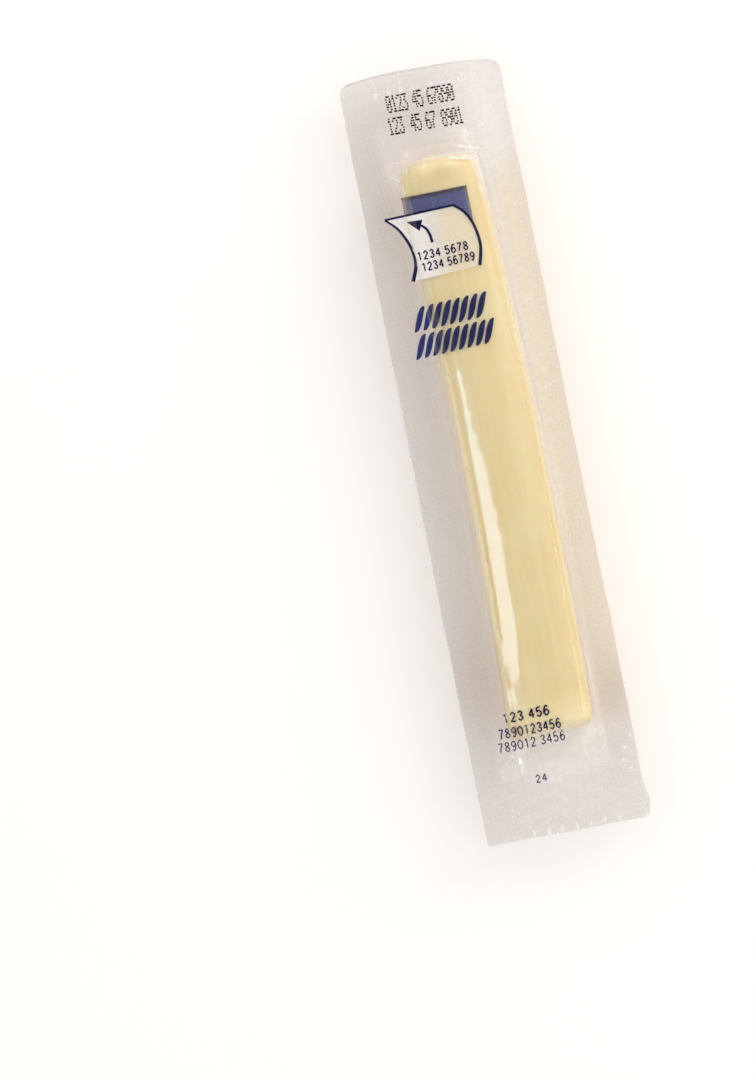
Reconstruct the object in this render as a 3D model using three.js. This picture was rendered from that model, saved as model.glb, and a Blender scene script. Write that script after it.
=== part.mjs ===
// One stick of string cheese sealed in its clear film pack, lying with the printed lid up.
//
// Units are millimetres. +X runs to the right across the pack, +Y along it towards the end with the
// dotted code, and +Z up. The origin lies under the middle of the pack, on the surface it rests on.
//
// A flat lid film and a formed film with a round-ended pocket are sealed together all round the
// cheese. The vacuum draws both films onto the stick, so it bulges above and below the sealed
// flange, and the pocket's empty ends lie collapsed beyond it. All of it is one closed solid.
import * as THREE from "three";

// Driving dimensions of the pack's outline, seen from above.
const PACK_WIDTH = 32;
const PACK_LENGTH = 152.8;
const CODE_CORNER_RADIUS = 2.2;
const PLAIN_CORNER_RADIUS = 0.9; // the corners at the other end are nearly square
const CODE_END_BOW = 1.0; // how far the cut at the code end falls back at its corners

// The cheese stick with the film drawn onto it.
const STICK_WIDTH = 16.6;
const STICK_TOP = 15.6;
const STICK_LENGTH = 115.6;
const STICK_SQUARENESS = 2.5; // 2 would make the section an ellipse, and more makes it squarer
const PLAIN_END_GAIN = 2; // how much squarer the section is at the plain end
const PLAIN_END_PLACE = 50; // how far from the middle it reaches that
const CODE_END_SQUARENESS = 26; // how suddenly the stick ends, as a power of the length
const PLAIN_END_SQUARENESS = 60; // the other end is cut squarer
const STICK_MIDDLE_X = 1.65; // the stick lies a little right of the pack's middle
const STICK_LEAN = 0.4; // how far its code end lies further left than its middle
const STICK_BOW = 1.4; // how far both of its ends bend to the left
const REST_DEPTH = 0.35; // how much of the round underside is pressed flat on the surface

// The sealed flange round the stick.
const FLANGE_TOP = 9.2;
const FLANGE_THICKNESS = 0.8;
const FLANGE_END_DROOP = 2.2;
const FLANGE_SIDE_DROOP = 0.9;
const FLANGE_WAVE_HEIGHT = 0.22;
const FLANGE_WAVE_LENGTH = 38;
const BLEND = 0.45; // radius with which the film leaves the flange for the stick

// The pocket that the lower film is formed with, longer than the stick.
const POCKET_WIDTH = 18.4;
const POCKET_LENGTH = 125;
const POCKET_END_SQUARENESS = 20;
const POCKET_RIM_HEIGHT = 0.45;
const POCKET_RIM_WIDTH = 0.05; // as a share of the pocket's own outline
const DRAPE_REACH = 5.2; // how far past the stick's ends the films slope down and up to the flange
const DRAPE_HEIGHT = 3.0; // how high the lid still stands at the stick's end
const DRAPE_DEPTH = 4.2; // how deep the formed film still hangs there

// How finely the surface is cut into faces.
const FLANGE_COLUMNS = 5;
const STICK_COLUMNS = 20;
const CORNER_ROWS = 4;
const FLANGE_END_ROWS = 7;
const POCKET_END_ROWS = 9;
const STICK_END_ROWS = 7;
const STICK_ROWS = 22;

const HALF_WIDTH = PACK_WIDTH / 2;
const HALF_LENGTH = PACK_LENGTH / 2;
const STICK_MIDDLE_Z = STICK_TOP / 2;
const STICK_END_LENGTH = 6; // the stretch at each end of the stick where its section dies away

// Where the stick's centre line lies across the pack, at a place y along it.
function stickCentre(y) {
  const t = y / (STICK_LENGTH / 2);
  return STICK_MIDDLE_X - STICK_LEAN * t - STICK_BOW * t * t;
}

// The power of the section's superellipse at y, which rises from the middle to the plain end.
function sectionPower(y) {
  const t = Math.min(1, Math.max(0, -y / PLAIN_END_PLACE));
  return STICK_SQUARENESS + PLAIN_END_GAIN * t * t;
}

// How high the stick stands at (x, y): 1 along its centre line, 0 at its outline and beyond it.
function stickCrown(x, y) {
  const power = sectionPower(y);
  const across = Math.abs(x - stickCentre(y)) / (STICK_WIDTH / 2);
  const along = Math.abs(y) / (STICK_LENGTH / 2);
  const endPower = y > 0 ? CODE_END_SQUARENESS : PLAIN_END_SQUARENESS;
  const inside = 1 - across ** power - along ** endPower;
  return inside > 0 ? inside ** (1 / power) : 0;
}

// How far out (x, y) lies in the pocket: 0 at its middle, 1 on its outline, more beyond it.
function pocketReach(x, y) {
  const across = Math.abs(x - stickCentre(y)) / (POCKET_WIDTH / 2);
  const along = Math.abs(y) / (POCKET_LENGTH / 2);
  return (across ** 4 + along ** POCKET_END_SQUARENESS) ** 0.25;
}

// The sealed flange's upper face: level beside the stick, drooping to its ends and sides in slow waves.
function flangeTop(x, y) {
  const toEnd = Math.max(0, (Math.abs(y) - STICK_LENGTH / 2) / (HALF_LENGTH - STICK_LENGTH / 2));
  const toSide = Math.abs(x) / HALF_WIDTH;
  const wave = Math.sin((2 * Math.PI * (y + 0.6 * x)) / FLANGE_WAVE_LENGTH) * toSide ** 2;
  return (
    FLANGE_TOP -
    FLANGE_END_DROOP * toEnd ** 1.5 -
    FLANGE_SIDE_DROOP * toSide ** 2 +
    FLANGE_WAVE_HEIGHT * wave
  );
}

// The ridge that the pocket's edge leaves in the film, largest at the pocket's empty ends.
function pocketRim(x, y) {
  const fromEdge = (pocketReach(x, y) - 1) / POCKET_RIM_WIDTH;
  return POCKET_RIM_HEIGHT * Math.exp(-fromEdge * fromEdge);
}

// How much of the drape past the stick's ends is left at (x, y): 1 at the end, 0 out of its reach.
function drape(x, y) {
  const across = Math.min(1, Math.abs(x - stickCentre(y)) / (STICK_WIDTH / 2));
  const beyond = Math.max(0, Math.abs(y) - STICK_LENGTH / 2) / DRAPE_REACH;
  return Math.max(0, 1 - beyond) ** 1.5 * (1 - across ** 4);
}

// The larger of two heights, with a rounded valley between them.
function blendedMax(a, b) {
  const overlap = Math.max(0, BLEND - Math.abs(a - b));
  return Math.max(a, b) + (overlap * overlap) / (4 * BLEND);
}

function topHeight(x, y) {
  const flange = flangeTop(x, y) + pocketRim(x, y) + DRAPE_HEIGHT * drape(x, y);
  const stick = STICK_MIDDLE_Z + (STICK_TOP - STICK_MIDDLE_Z) * stickCrown(x, y);
  return blendedMax(flange, stick);
}

function bottomHeight(x, y) {
  const flange = flangeTop(x, y) - FLANGE_THICKNESS - DRAPE_DEPTH * drape(x, y);
  const stick = STICK_MIDDLE_Z - (STICK_MIDDLE_Z + REST_DEPTH) * stickCrown(x, y);
  return Math.max(0, -blendedMax(-flange, -stick));
}

// Half the pack's width at y: full along the sides, and following a round corner at each end.
function halfWidthAt(y) {
  const radius = y > 0 ? CODE_CORNER_RADIUS : PLAIN_CORNER_RADIUS;
  const intoCorner = Math.max(0, Math.abs(y) - (HALF_LENGTH - radius));
  const inset = radius - Math.sqrt(Math.max(0, radius ** 2 - intoCorner ** 2));
  return HALF_WIDTH - inset;
}

// The places along the pack, end to end, that the faces' rows run through.
function rowPlaces() {
  const cornerStart = HALF_LENGTH - CODE_CORNER_RADIUS;
  const pocketEnd = POCKET_LENGTH / 2 + 2;
  const stickEnd = STICK_LENGTH / 2;
  const bodyEnd = stickEnd - STICK_END_LENGTH;
  const half = [];
  const addRun = (from, to, rows, ease = (t) => t) => {
    for (let i = 0; i < rows; i++) half.push(from + (to - from) * ease(i / rows));
  };
  addRun(0, bodyEnd, STICK_ROWS / 2);
  addRun(bodyEnd, stickEnd, STICK_END_ROWS, (t) => Math.sin((t * Math.PI) / 2));
  addRun(stickEnd, pocketEnd, POCKET_END_ROWS);
  addRun(pocketEnd, cornerStart, FLANGE_END_ROWS);
  addRun(cornerStart, HALF_LENGTH, CORNER_ROWS, (t) => Math.sin((t * Math.PI) / 2));
  half.push(HALF_LENGTH);
  const mirrored = half.slice(1).reverse();
  return [...mirrored.map((y) => -y), ...half];
}

// The places across the pack at y: even over each side of the flange, and spaced over the stick by
// the angle round its section, so that they close up where its sides are steep.
function columnPlaces(y) {
  const edge = halfWidthAt(y);
  const centre = stickCentre(y);
  const reach = STICK_WIDTH / 2 + BLEND;
  const places = [];
  for (let i = 0; i < FLANGE_COLUMNS; i++) {
    places.push(-edge + ((centre - reach + edge) * i) / FLANGE_COLUMNS);
  }
  for (let i = 0; i <= STICK_COLUMNS; i++) {
    const angle = Math.PI * (1 - i / STICK_COLUMNS);
    const side = Math.cos(angle);
    places.push(centre + reach * Math.sign(side) * Math.abs(side) ** (2 / sectionPower(y)));
  }
  for (let i = 1; i <= FLANGE_COLUMNS; i++) {
    places.push(centre + reach + ((edge - centre - reach) * i) / FLANGE_COLUMNS);
  }
  return places;
}

// The code end's cut is a shallow arc, so the film just before it follows the same curve.
function bowed(x, y) {
  const toCut = Math.max(0, (y - POCKET_LENGTH / 2) / (HALF_LENGTH - POCKET_LENGTH / 2));
  return y - CODE_END_BOW * (x / HALF_WIDTH) ** 2 * toCut;
}

// A box cut into rows and columns, with every corner of a face moved onto the pack's surface. Its
// upper side becomes the lid, its lower side the formed film, and its thin sides the cut edges.
function sealedPackGeometry() {
  const rows = rowPlaces();
  const columns = rows.map(columnPlaces);
  const lastRow = rows.length - 1;
  const lastColumn = columns[0].length - 1;
  const box = new THREE.BoxGeometry(lastColumn, lastRow, 1, lastColumn, lastRow, 1);
  const corners = box.getAttribute("position");
  for (let i = 0; i < corners.count; i++) {
    const row = Math.round(corners.getY(i) + lastRow / 2);
    const column = Math.round(corners.getX(i) + lastColumn / 2);
    const x = columns[row][column];
    const y = bowed(x, rows[row]);
    const z = corners.getZ(i) > 0 ? topHeight(x, y) : bottomHeight(x, y);
    corners.setXYZ(i, x, y, z);
  }
  box.computeVertexNormals();
  return box;
}

const creamUnderFilm = new THREE.MeshStandardMaterial({
  color: 0xead49c,
  roughness: 0.35,
  metalness: 0,
});

const sealedPack = new THREE.Mesh(sealedPackGeometry(), creamUnderFilm);
sealedPack.name = "sealed_pack";

const stringCheesePack = new THREE.Group();
stringCheesePack.add(sealedPack);

export default stringCheesePack;
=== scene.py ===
"""The looks of one stick of string cheese, sealed in clear printed film.

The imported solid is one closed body. Here it is replaced by what the real pack is made of: a printed
lid film, a formed film with a pocket, the cheese stick between them and the inks on the lid. Every
length is in metres, +X runs to the right across the pack, +Y along it to the end with the dotted
code, and +Z up.
"""

import math

import bpy
import numpy as np
from bpy.props import FloatProperty, FloatVectorProperty, IntProperty, PointerProperty
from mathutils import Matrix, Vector


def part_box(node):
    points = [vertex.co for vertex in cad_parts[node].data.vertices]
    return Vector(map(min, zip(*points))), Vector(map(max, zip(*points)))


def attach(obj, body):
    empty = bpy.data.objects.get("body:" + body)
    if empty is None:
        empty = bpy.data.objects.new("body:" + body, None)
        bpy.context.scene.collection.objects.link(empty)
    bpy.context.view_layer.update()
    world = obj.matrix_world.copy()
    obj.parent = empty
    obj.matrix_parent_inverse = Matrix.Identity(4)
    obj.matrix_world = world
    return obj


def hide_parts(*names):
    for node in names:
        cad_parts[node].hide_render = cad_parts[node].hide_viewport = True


bl_info = {
    "name": "String Cheese Pack",
    "version": (1, 0, 0),
    "blender": (4, 5, 0),
    "location": "3D View > Sidebar > Cheese Pack",
    "description": "Makes the films, the cheese stick, the print and the stage of a sealed cheese pack",
    "category": "Add Mesh",
}

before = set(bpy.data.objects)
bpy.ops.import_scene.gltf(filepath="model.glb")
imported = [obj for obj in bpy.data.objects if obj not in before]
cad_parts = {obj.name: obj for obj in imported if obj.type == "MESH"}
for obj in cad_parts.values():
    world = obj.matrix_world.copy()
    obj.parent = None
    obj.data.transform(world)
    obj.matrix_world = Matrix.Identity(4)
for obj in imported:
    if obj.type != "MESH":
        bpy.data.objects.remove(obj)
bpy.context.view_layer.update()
PACK_LOW, PACK_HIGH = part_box("sealed_pack")

MM = 0.001
BODY = "root"

# The pack's form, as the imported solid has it.
CODE_CORNER_RADIUS = 2.2 * MM
PLAIN_CORNER_RADIUS = 0.9 * MM
CODE_END_BOW = 1.0 * MM
STICK_WIDTH = 16.6 * MM
STICK_LENGTH = 115.6 * MM
STICK_SQUARENESS = 2.5
PLAIN_END_GAIN = 2
PLAIN_END_PLACE = 50 * MM
CODE_END_SQUARENESS = 34  # the cheese's own cut end is a little squarer than the solid's
PLAIN_END_SQUARENESS = 60
STICK_MIDDLE_X = 1.65 * MM
STICK_LEAN = 0.4 * MM
STICK_BOW = 1.4 * MM
REST_DEPTH = 0.35 * MM
FLANGE_TOP = 9.2 * MM
FLANGE_END_DROOP = 2.2 * MM
FLANGE_SIDE_DROOP = 0.9 * MM
FLANGE_WAVE_HEIGHT = 0.22 * MM
FLANGE_WAVE_LENGTH = 38 * MM
FILM_BLEND = 1.5 * MM  # the film bridges the valley beside the stick more widely than the solid
POCKET_WIDTH = 18.4 * MM
POCKET_LENGTH = 125 * MM
POCKET_END_SQUARENESS = 20
POCKET_RIM_WIDTH = 0.05
POCKET_RIM_HEIGHT = 0.11 * MM
FILM_THICKNESS = 0.12 * MM  # between the pack's top and the stick's crown
LID_SINK = 0.30 * MM  # the flange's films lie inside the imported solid's thicker flange
FORMED_SINK = 0.45 * MM
DRAPE_REACH = 5.2 * MM
DRAPE_HEIGHT = 3.0 * MM
DRAPE_DEPTH = 4.2 * MM


def linear(hex_colour):
    """A linear RGB triple from an sRGB hex colour such as "#EAD49C": each channel goes through the
    standard sRGB curve, a straight line near black and a power of 2.4 above it."""
    channels = [int(hex_colour[i : i + 2], 16) / 255 for i in (1, 3, 5)]
    return tuple(c / 12.92 if c <= 0.04045 else ((c + 0.055) / 1.055) ** 2.4 for c in channels)


def rgba(hex_colour):
    """The same colour with an alpha of one, as a shader's colour socket takes it."""
    return (*linear(hex_colour), 1.0)


# ---------------------------------------------------------------------------
# Settings
# ---------------------------------------------------------------------------


def length_setting(name, description, default):
    """A length in metres that a user may change."""
    return FloatProperty(
        name=name, description=description, default=default, unit="LENGTH", precision=5
    )


def strength_setting(name, description, default):
    """A light's strength that a user may change."""
    return FloatProperty(name=name, description=description, default=default, min=0)


def colour_setting(name, description, hex_colour):
    """A colour that a user may change."""
    return FloatVectorProperty(
        name=name,
        description=description,
        default=linear(hex_colour),
        subtype="COLOR",
        size=3,
        min=0,
        max=1,
    )


class PackSizes(bpy.types.PropertyGroup):
    """Sizes of the pack's own pieces."""

    length: length_setting(
        "Pack length",
        "From cut end to cut end, as the packed solid measures",
        PACK_HIGH.y - PACK_LOW.y,
    )
    width: length_setting(
        "Pack width",
        "Across both sealed sides, as the packed solid measures",
        PACK_HIGH.x - PACK_LOW.x,
    )
    height: length_setting(
        "Pack height",
        "From the surface to the top of the lid over the stick",
        PACK_HIGH.z - PACK_LOW.z,
    )
    stick_gap: length_setting(
        "Gap under the film", "Between the films' outer faces and the cheese", 0.28 * MM
    )
    crease_height: length_setting(
        "Crease height", "How far the sharpest folds stand up from the lid", 0.22 * MM
    )


class PackColours(bpy.types.PropertyGroup):
    """Colours of the films, the cheese and the inks."""

    film: colour_setting("Film tint", "What one face of the film lets through", "#FDFBFA")
    # painted light: the warm tint and haze stand for the cheese's glow falling on the film
    warm_film: colour_setting(
        "Film tint beside the cheese",
        "What the film lets through on the right, where the cheese's own glow warms it",
        "#FDFAF2",
    )
    haze: colour_setting("Film haze", "The milky light that the film scatters back", "#F1EAE7")
    warm_haze: colour_setting(
        "Film haze beside the cheese",
        "The milky light on the right, where the cheese's own glow warms it",
        "#FEF4DF",
    )
    crease: colour_setting(
        "Crease white", "The opaque white of the film where it is sharply folded", "#FDFBF8"
    )
    # painted shade: the greyer tint that stands for shade falling on the film
    painted_shade: colour_setting(
        "Film shade", "What the film lets through where it looks greyest", "#D6CCC5"
    )
    cheese: colour_setting("Cheese", "The cream yellow of the stick's smooth skin", "#FFEEC2")
    cheese_deep: colour_setting(
        "Cheese, deeper", "The warmer yellow between its fibres", "#FBE3AE"
    )
    ink: colour_setting("Blue ink", "The translucent blue of the lid's print", "#58628E")
    fine_ink: colour_setting("Fine ink", "The blue of the outlines and the digits", "#4F5580")
    screened_ink: colour_setting(
        "Screened ink", "The blue ink where a halftone screen thins it", "#4A59A2"
    )
    backing: colour_setting(
        "Backing ink", "The thin white behind the peel mark's sheet", "#FBF6EF"
    )
    code_ink: colour_setting("Code ink", "The near black of the dotted code", "#1E1D22")


class PackStage(bpy.types.PropertyGroup):
    """The floor, the lights and the camera."""

    lens: FloatProperty(
        name="Lens",
        description="Focal length that gives the photograph's perspective",
        default=120.0,
        unit="CAMERA",
    )
    camera_place: FloatVectorProperty(
        name="Camera place",
        description="Where the camera stands",
        default=(-0.057834, -0.117648, 0.692800),
        subtype="TRANSLATION",
        unit="LENGTH",
        size=3,
    )
    camera_turn: FloatVectorProperty(
        name="Camera turn",
        description="How the camera is turned",
        default=tuple(math.radians(a) for a in (8.90082, -1.09273, -10.71292)),
        subtype="EULER",
        unit="ROTATION",
        size=3,
    )
    floor_colour: colour_setting("Floor", "The plain pale floor", "#F2F0EE")
    floor_size: length_setting("Floor size", "Side of the square floor", 6.0)
    ambient: strength_setting("Room light", "Strength of the even light from all round", 0.93)
    glow: strength_setting(
        "Floor glow", "Strength of the light that comes through the floor", 0.15
    )
    key: strength_setting("Key light", "Radiance of the large softbox up on the right", 2.7)
    low_plate: strength_setting(
        "Low plate", "Radiance of the plate below, which only steep film mirrors", 0.70
    )
    card: strength_setting(
        "Bright cards", "Radiance of the cards that the film mirrors as glare", 4.2
    )
    glint: strength_setting(
        "Glints", "Radiance of the small squares that only creases mirror", 9.0
    )
    seed: IntProperty(name="Seed", description="Start of the code's random draws", default=7)


# ---------------------------------------------------------------------------
# The pack's form
# ---------------------------------------------------------------------------


def smooth_step(t):
    """3t^2 - 2t^3 with t held between 0 and 1: a soft change from 0 to 1."""
    t = np.clip(t, 0, 1)
    return t * t * (3 - 2 * t)


def bell(distance, width):
    """exp(-(d/w)^2): 1 at no distance, fading to 0 in about two widths."""
    return np.exp(-((distance / width) ** 2))


RIPPLE_WAVES = 9
RIPPLE_GAIN = 1.8


def ripples(x, y, wave_length, seed, stretch=1.0):
    """Even unevenness between about -1 and 1: a gain times the mean of nine sine waves whose lengths
    lie near the given one, with seeded directions and phases. stretch above 1 lengthens them along
    the pack."""
    draw = np.random.default_rng(seed)
    total = np.zeros_like(x)
    for _ in range(RIPPLE_WAVES):
        turn = draw.uniform(0, 2 * np.pi)
        length = wave_length * draw.uniform(0.7, 1.5)
        phase = draw.uniform(0, 2 * np.pi)
        along = x * np.cos(turn) + y / stretch * np.sin(turn)
        total = total + np.sin(2 * np.pi * along / length + phase)
    return total / RIPPLE_WAVES * RIPPLE_GAIN


def stick_centre(y):
    """The stick's centre line across the pack: a + b t + c t^2, t being 0 at its middle and 1 at its
    code end."""
    t = y / (STICK_LENGTH / 2)
    return STICK_MIDDLE_X - STICK_LEAN * t - STICK_BOW * t * t


def section_power(y):
    """The power n of the section's superellipse, which rises from the middle to the plain end."""
    t = np.clip(-y / PLAIN_END_PLACE, 0, 1)
    return STICK_SQUARENESS + PLAIN_END_GAIN * t * t


def stick_crown(x, y):
    """How high the stick stands over its middle plane, 1 along its centre line and 0 outside its
    outline: (1 - |x/a|^n - |y/b|^m)^(1/n), a superellipse across and nearly square ends along."""
    power = section_power(y)
    across = np.abs(x - stick_centre(y)) / (STICK_WIDTH / 2)
    along = np.abs(y) / (STICK_LENGTH / 2)
    end_power = np.where(y > 0, CODE_END_SQUARENESS, PLAIN_END_SQUARENESS)
    inside = 1 - across**power - along**end_power
    return np.maximum(inside, 0) ** (1 / power)


def pocket_reach(x, y):
    """How far out a place lies in the formed pocket, 1 on its outline: a superellipse of power 4
    across and of a high power along, so that its ends are nearly straight with round corners."""
    across = np.abs(x - stick_centre(y)) / (POCKET_WIDTH / 2)
    along = np.abs(y) / (POCKET_LENGTH / 2)
    return (across**4 + along**POCKET_END_SQUARENESS) ** 0.25


def flange(x, y, sizes):
    """The sealed flange's upper face: level beside the stick, drooping as a power 1.5 to its ends and
    a square to its sides, with one slow sine wave along it."""
    half_stick = STICK_LENGTH / 2
    to_end = np.maximum(0, (np.abs(y) - half_stick) / (sizes.length / 2 - half_stick))
    to_side = np.abs(x) / (sizes.width / 2)
    wave = np.sin(2 * np.pi * (y + 0.6 * x) / FLANGE_WAVE_LENGTH) * to_side**2
    return (
        FLANGE_TOP
        - FLANGE_END_DROOP * to_end**1.5
        - FLANGE_SIDE_DROOP * to_side**2
        + FLANGE_WAVE_HEIGHT * wave
    )


def drape(x, y):
    """How much of the slope past the stick's ends is left: a power 1.5 that reaches 0 at its foot."""
    across = np.minimum(1, np.abs(x - stick_centre(y)) / (STICK_WIDTH / 2))
    beyond = np.maximum(0, np.abs(y) - STICK_LENGTH / 2) / DRAPE_REACH
    return np.maximum(0, 1 - beyond) ** 1.5 * (1 - across**4)


def blended_max(a, b):
    """The larger of two heights with a rounded valley: max(a, b) + k^2/(4 w), k being how far the
    gap between them falls short of the blend's width w."""
    overlap = np.maximum(0, FILM_BLEND - np.abs(a - b))
    return np.maximum(a, b) + overlap**2 / (4 * FILM_BLEND)


# ---------------------------------------------------------------------------
# Folds, seams and marks in the lid
# ---------------------------------------------------------------------------

# Each fold is a curve through three or more places in millimetres, as flat artwork (see landed),
# then its height as a share of the sharpest fold's, its half width in millimetres, and how milky
# its crest is.
LID_FOLDS = (
    # the pleat past the code end of the stick, pointing right
    (((3.6, 60.3), (6.1, 59.5), (9.1, 58.3)), 0.9, 0.24, 0.8),
    (((2.0, 57.9), (4.6, 57.4), (7.1, 56.9), (8.2, 57.3), (9.1, 58.2)), 0.9, 0.30, 1.0),
    (((5.0, 58.2), (7.0, 58.2), (8.8, 58.5)), 0.5, 0.5, 0.5),
    (((9.1, 59.6), (10.1, 58.6), (10.1, 57.2)), 0.5, 0.22, 0.4),
    (((9.9, 56.7), (10.1, 56.5), (10.3, 56.3)), 0.6, 0.3, 0.9),
    (((2.6, 61.6), (3.8, 61.2), (5.0, 60.8)), 0.4, 0.2, 0.25),
    (((-2.4, 58.2), (0.8, 58.2), (3.6, 57.7)), 0.3, 0.22, 0.2),
    (((-7.6, 59.6), (-1.0, 61.9), (6.0, 61.6)), 0.3, 0.5, 0.05),
    # the small loop at the stick's left code corner
    (((-5.1, 60.4), (-5.3, 59.8), (-5.1, 59.2)), 0.7, 0.2, 0.6),
    (((-5.4, 58.9), (-5.7, 58.6), (-6.0, 58.5)), 0.6, 0.18, 0.5),
    (((-6.6, 58.6), (-8.5, 58.4), (-9.3, 57.1)), 0.4, 0.2, 0.25),
    (((-9.0, 56.1), (-8.3, 55.4), (-7.4, 54.6)), 0.7, 0.2, 0.9),
    (((-7.3, 54.4), (-7.2, 53.2), (-7.0, 51.4)), 0.5, 0.22, 0.6),
    (((-5.7, 57.1), (-5.9, 56.5), (-6.2, 55.9)), 0.4, 0.32, 0.6),
    # the crease across the right code corner
    (((12.2, 74.2), (13.2, 72.6), (15.6, 71.0)), 0.5, 0.24, 0.35),
    # the arch over the empty end of the pocket, and the pocket's own end beyond it
    (((-4.6, -61.7), (-0.6, -60.9), (3.6, -61.8)), 0.5, 0.36, 0.14),
    (((3.6, -61.8), (5.0, -62.6), (5.9, -63.2)), 0.6, 0.22, 0.4),
    (((10.9, -61.0), (11.8, -63.2), (8.6, -66.6), (3.0, -67.3)), 0.3, 0.3, 0.1),
    # right of the arch
    (((8.0, -57.6), (10.3, -59.8), (10.1, -61.6), (7.9, -63.3)), 0.8, 0.22, 0.42),
    (((5.6, -58.4), (6.2, -60.2), (5.6, -61.8)), 0.3, 0.2, 0.15),
    # left of the arch
    (((-7.1, -59.6), (-8.1, -61.0), (-9.6, -61.6)), 0.7, 0.24, 0.5),
    (((-10.0, -61.9), (-9.9, -63.6), (-9.4, -65.6)), 0.5, 0.22, 0.4),
    # a milky fold whose white streak is partly painted highlight
    (((-6.5, -59.0), (-5.9, -61.6), (-6.2, -64.8)), 0.6, 0.6, 0.9),
    (((-5.2, -59.6), (-5.0, -60.8), (-5.3, -62.6)), 0.3, 0.3, 0.3),
    # beside the stick, right
    (((10.2, -43.0), (10.3, -48.0), (10.1, -53.2)), 0.4, 0.2, 0.3),
)

# A crest's white is partly its whitening and partly painted highlight that stands for its glints.
FOLD_WHITENING = 1.3  # how much milkier than its share a sharp crest is

# The long ridges where the film leaves the stick's top for its sides, from its centre line. Their
# crests carry a painted highlight beaded with painted sparkles, partly the fold's own whitening.
LEFT_RIDGE_REACH = -7.40 * MM
RIGHT_RIDGE_REACH = 6.05 * MM
RIDGE_WIDTH = 0.12 * MM
RIDGE_HEIGHT = 0.035 * MM
RIDGE_WANDER = 0.10 * MM
RIDGE_START = -57.0 * MM
RIDGE_END = 32.0 * MM
PAINTED_SPARKLE_SPACING = 1.7 * MM

# Faint long folds in the flange, as places across the pack.
FLANGE_FOLDS = (-9.6 * MM, 12.1 * MM)
FLANGE_FOLD_WIDTH = 0.9 * MM
FLANGE_FOLD_HEIGHT = 0.05 * MM

# The crimp's short marks at both cut ends, in millimetres: their place across the pack, their length
# from the cut, and how milky they are.
CODE_END_CRIMPS = (
    (-9.2, 4.0, 0.8),
    (-6.5, 4.1, 0.7),
    (-4.1, 3.9, 1.0),
    (-1.6, 4.0, 0.8),
    (2.0, 3.8, 0.9),
    (4.2, 3.9, 0.9),
    (5.4, 4.0, 0.8),
    (7.5, 3.7, 0.9),
    (9.7, 4.3, 1.0),
)
PLAIN_END_CRIMPS = (
    (-9.4, 1.0, 0.35),
    (-6.3, 1.4, 0.8),
    (-3.6, 1.5, 1.0),
    (-3.3, 1.0, 0.8),
    (-1.9, 0.6, 0.6),
    (-1.0, 1.6, 0.8),
    (2.0, 1.5, 0.8),
    (4.7, 1.2, 1.0),
    (7.4, 1.6, 0.9),
    (10.3, 1.6, 1.0),
)
CRIMP_WIDTH = 0.25 * MM
CODE_STEM_WIDTH = 0.35 * MM
CODE_STEM_HEIGHT = 0.03 * MM
CODE_STEM_MILK = 0.28
CODE_CRIMP_LEAN = 0.04
PLAIN_CRIMP_HEIGHT = 0.12 * MM
PLAIN_CRIMP_LEAN = 0.08
DIMPLE_WIDTH = 0.44 * MM
DIMPLE_HEIGHT = 0.17 * MM

# Flat artwork lies in a level plane at the seams, and is thrown onto the lid from one point high
# above the plain end.
ART_PLANE = 6.1 * MM
ART_POINT = (-57.834 * MM, -117.648 * MM, 692.8 * MM)


def curve_through(points, steps=10):
    """A smooth curve through points: Catmull-Rom pieces, each a cubic whose slope at a point is half
    the step between its two neighbours. Gives an array of places, one row each."""
    p = np.asarray(points, float)
    p = np.vstack([2 * p[0] - p[1], p, 2 * p[-1] - p[-2]])
    t = np.linspace(0, 1, steps, endpoint=False)[:, None]
    pieces = [
        0.5
        * (
            2 * p[i]
            + (p[i + 1] - p[i - 1]) * t
            + (2 * p[i - 1] - 5 * p[i] + 4 * p[i + 1] - p[i + 2]) * t**2
            + (3 * p[i] - p[i - 1] - 3 * p[i + 1] + p[i + 2]) * t**3
        )
        for i in range(1, len(p) - 2)
    ]
    return np.vstack([*pieces, p[-2:-1]])


def nearest_on(path, x, y):
    """For each place, its distance from a path of straight pieces, and how far along the path the
    nearest point lies, 0 to 1."""
    best = np.full(x.shape, np.inf)
    share = np.zeros(x.shape)
    lengths = np.linalg.norm(np.diff(path, axis=0), axis=1)
    starts = np.concatenate([[0], np.cumsum(lengths)])
    for start, end, done, length in zip(path[:-1], path[1:], starts, lengths):
        step = end - start
        t = ((x - start[0]) * step[0] + (y - start[1]) * step[1]) / length**2
        t = np.clip(t, 0, 1)
        distance = np.hypot(x - start[0] - t * step[0], y - start[1] - t * step[1])
        nearer = distance < best
        best = np.where(nearer, distance, best)
        share = np.where(nearer, (done + t * length) / starts[-1], share)
    return best, share


def smooth_lid(x, y, sizes):
    """The lid without its fine relief: the larger of the flange and the stick's crown."""
    rim = POCKET_RIM_HEIGHT * bell(pocket_reach(x, y) - 1, POCKET_RIM_WIDTH)
    low = flange(x, y, sizes) - LID_SINK + rim + DRAPE_HEIGHT * drape(x, y)
    middle = sizes.height / 2
    high = middle + (middle - FILM_THICKNESS) * stick_crown(x, y)
    return blended_max(low, high)


def landed(x, y, sizes):
    """Where flat artwork lands on the lid. With v the point it is thrown from and a its own place,
    the ray v + (a - v) t meets the lid where t = (v_z - z) / (v_z - a_z), z being the lid's height
    at that place, which a few rounds of trial settle."""
    point_x, point_y, point_z = ART_POINT
    place_x, place_y = x, y
    for _ in range(12):
        t = (point_z - smooth_lid(place_x, place_y, sizes)) / (point_z - ART_PLANE)
        aim_x, aim_y = point_x + (x - point_x) * t, point_y + (y - point_y) * t
        place_x, place_y = (place_x + aim_x) / 2, (place_y + aim_y) / 2
    return place_x, place_y


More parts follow.
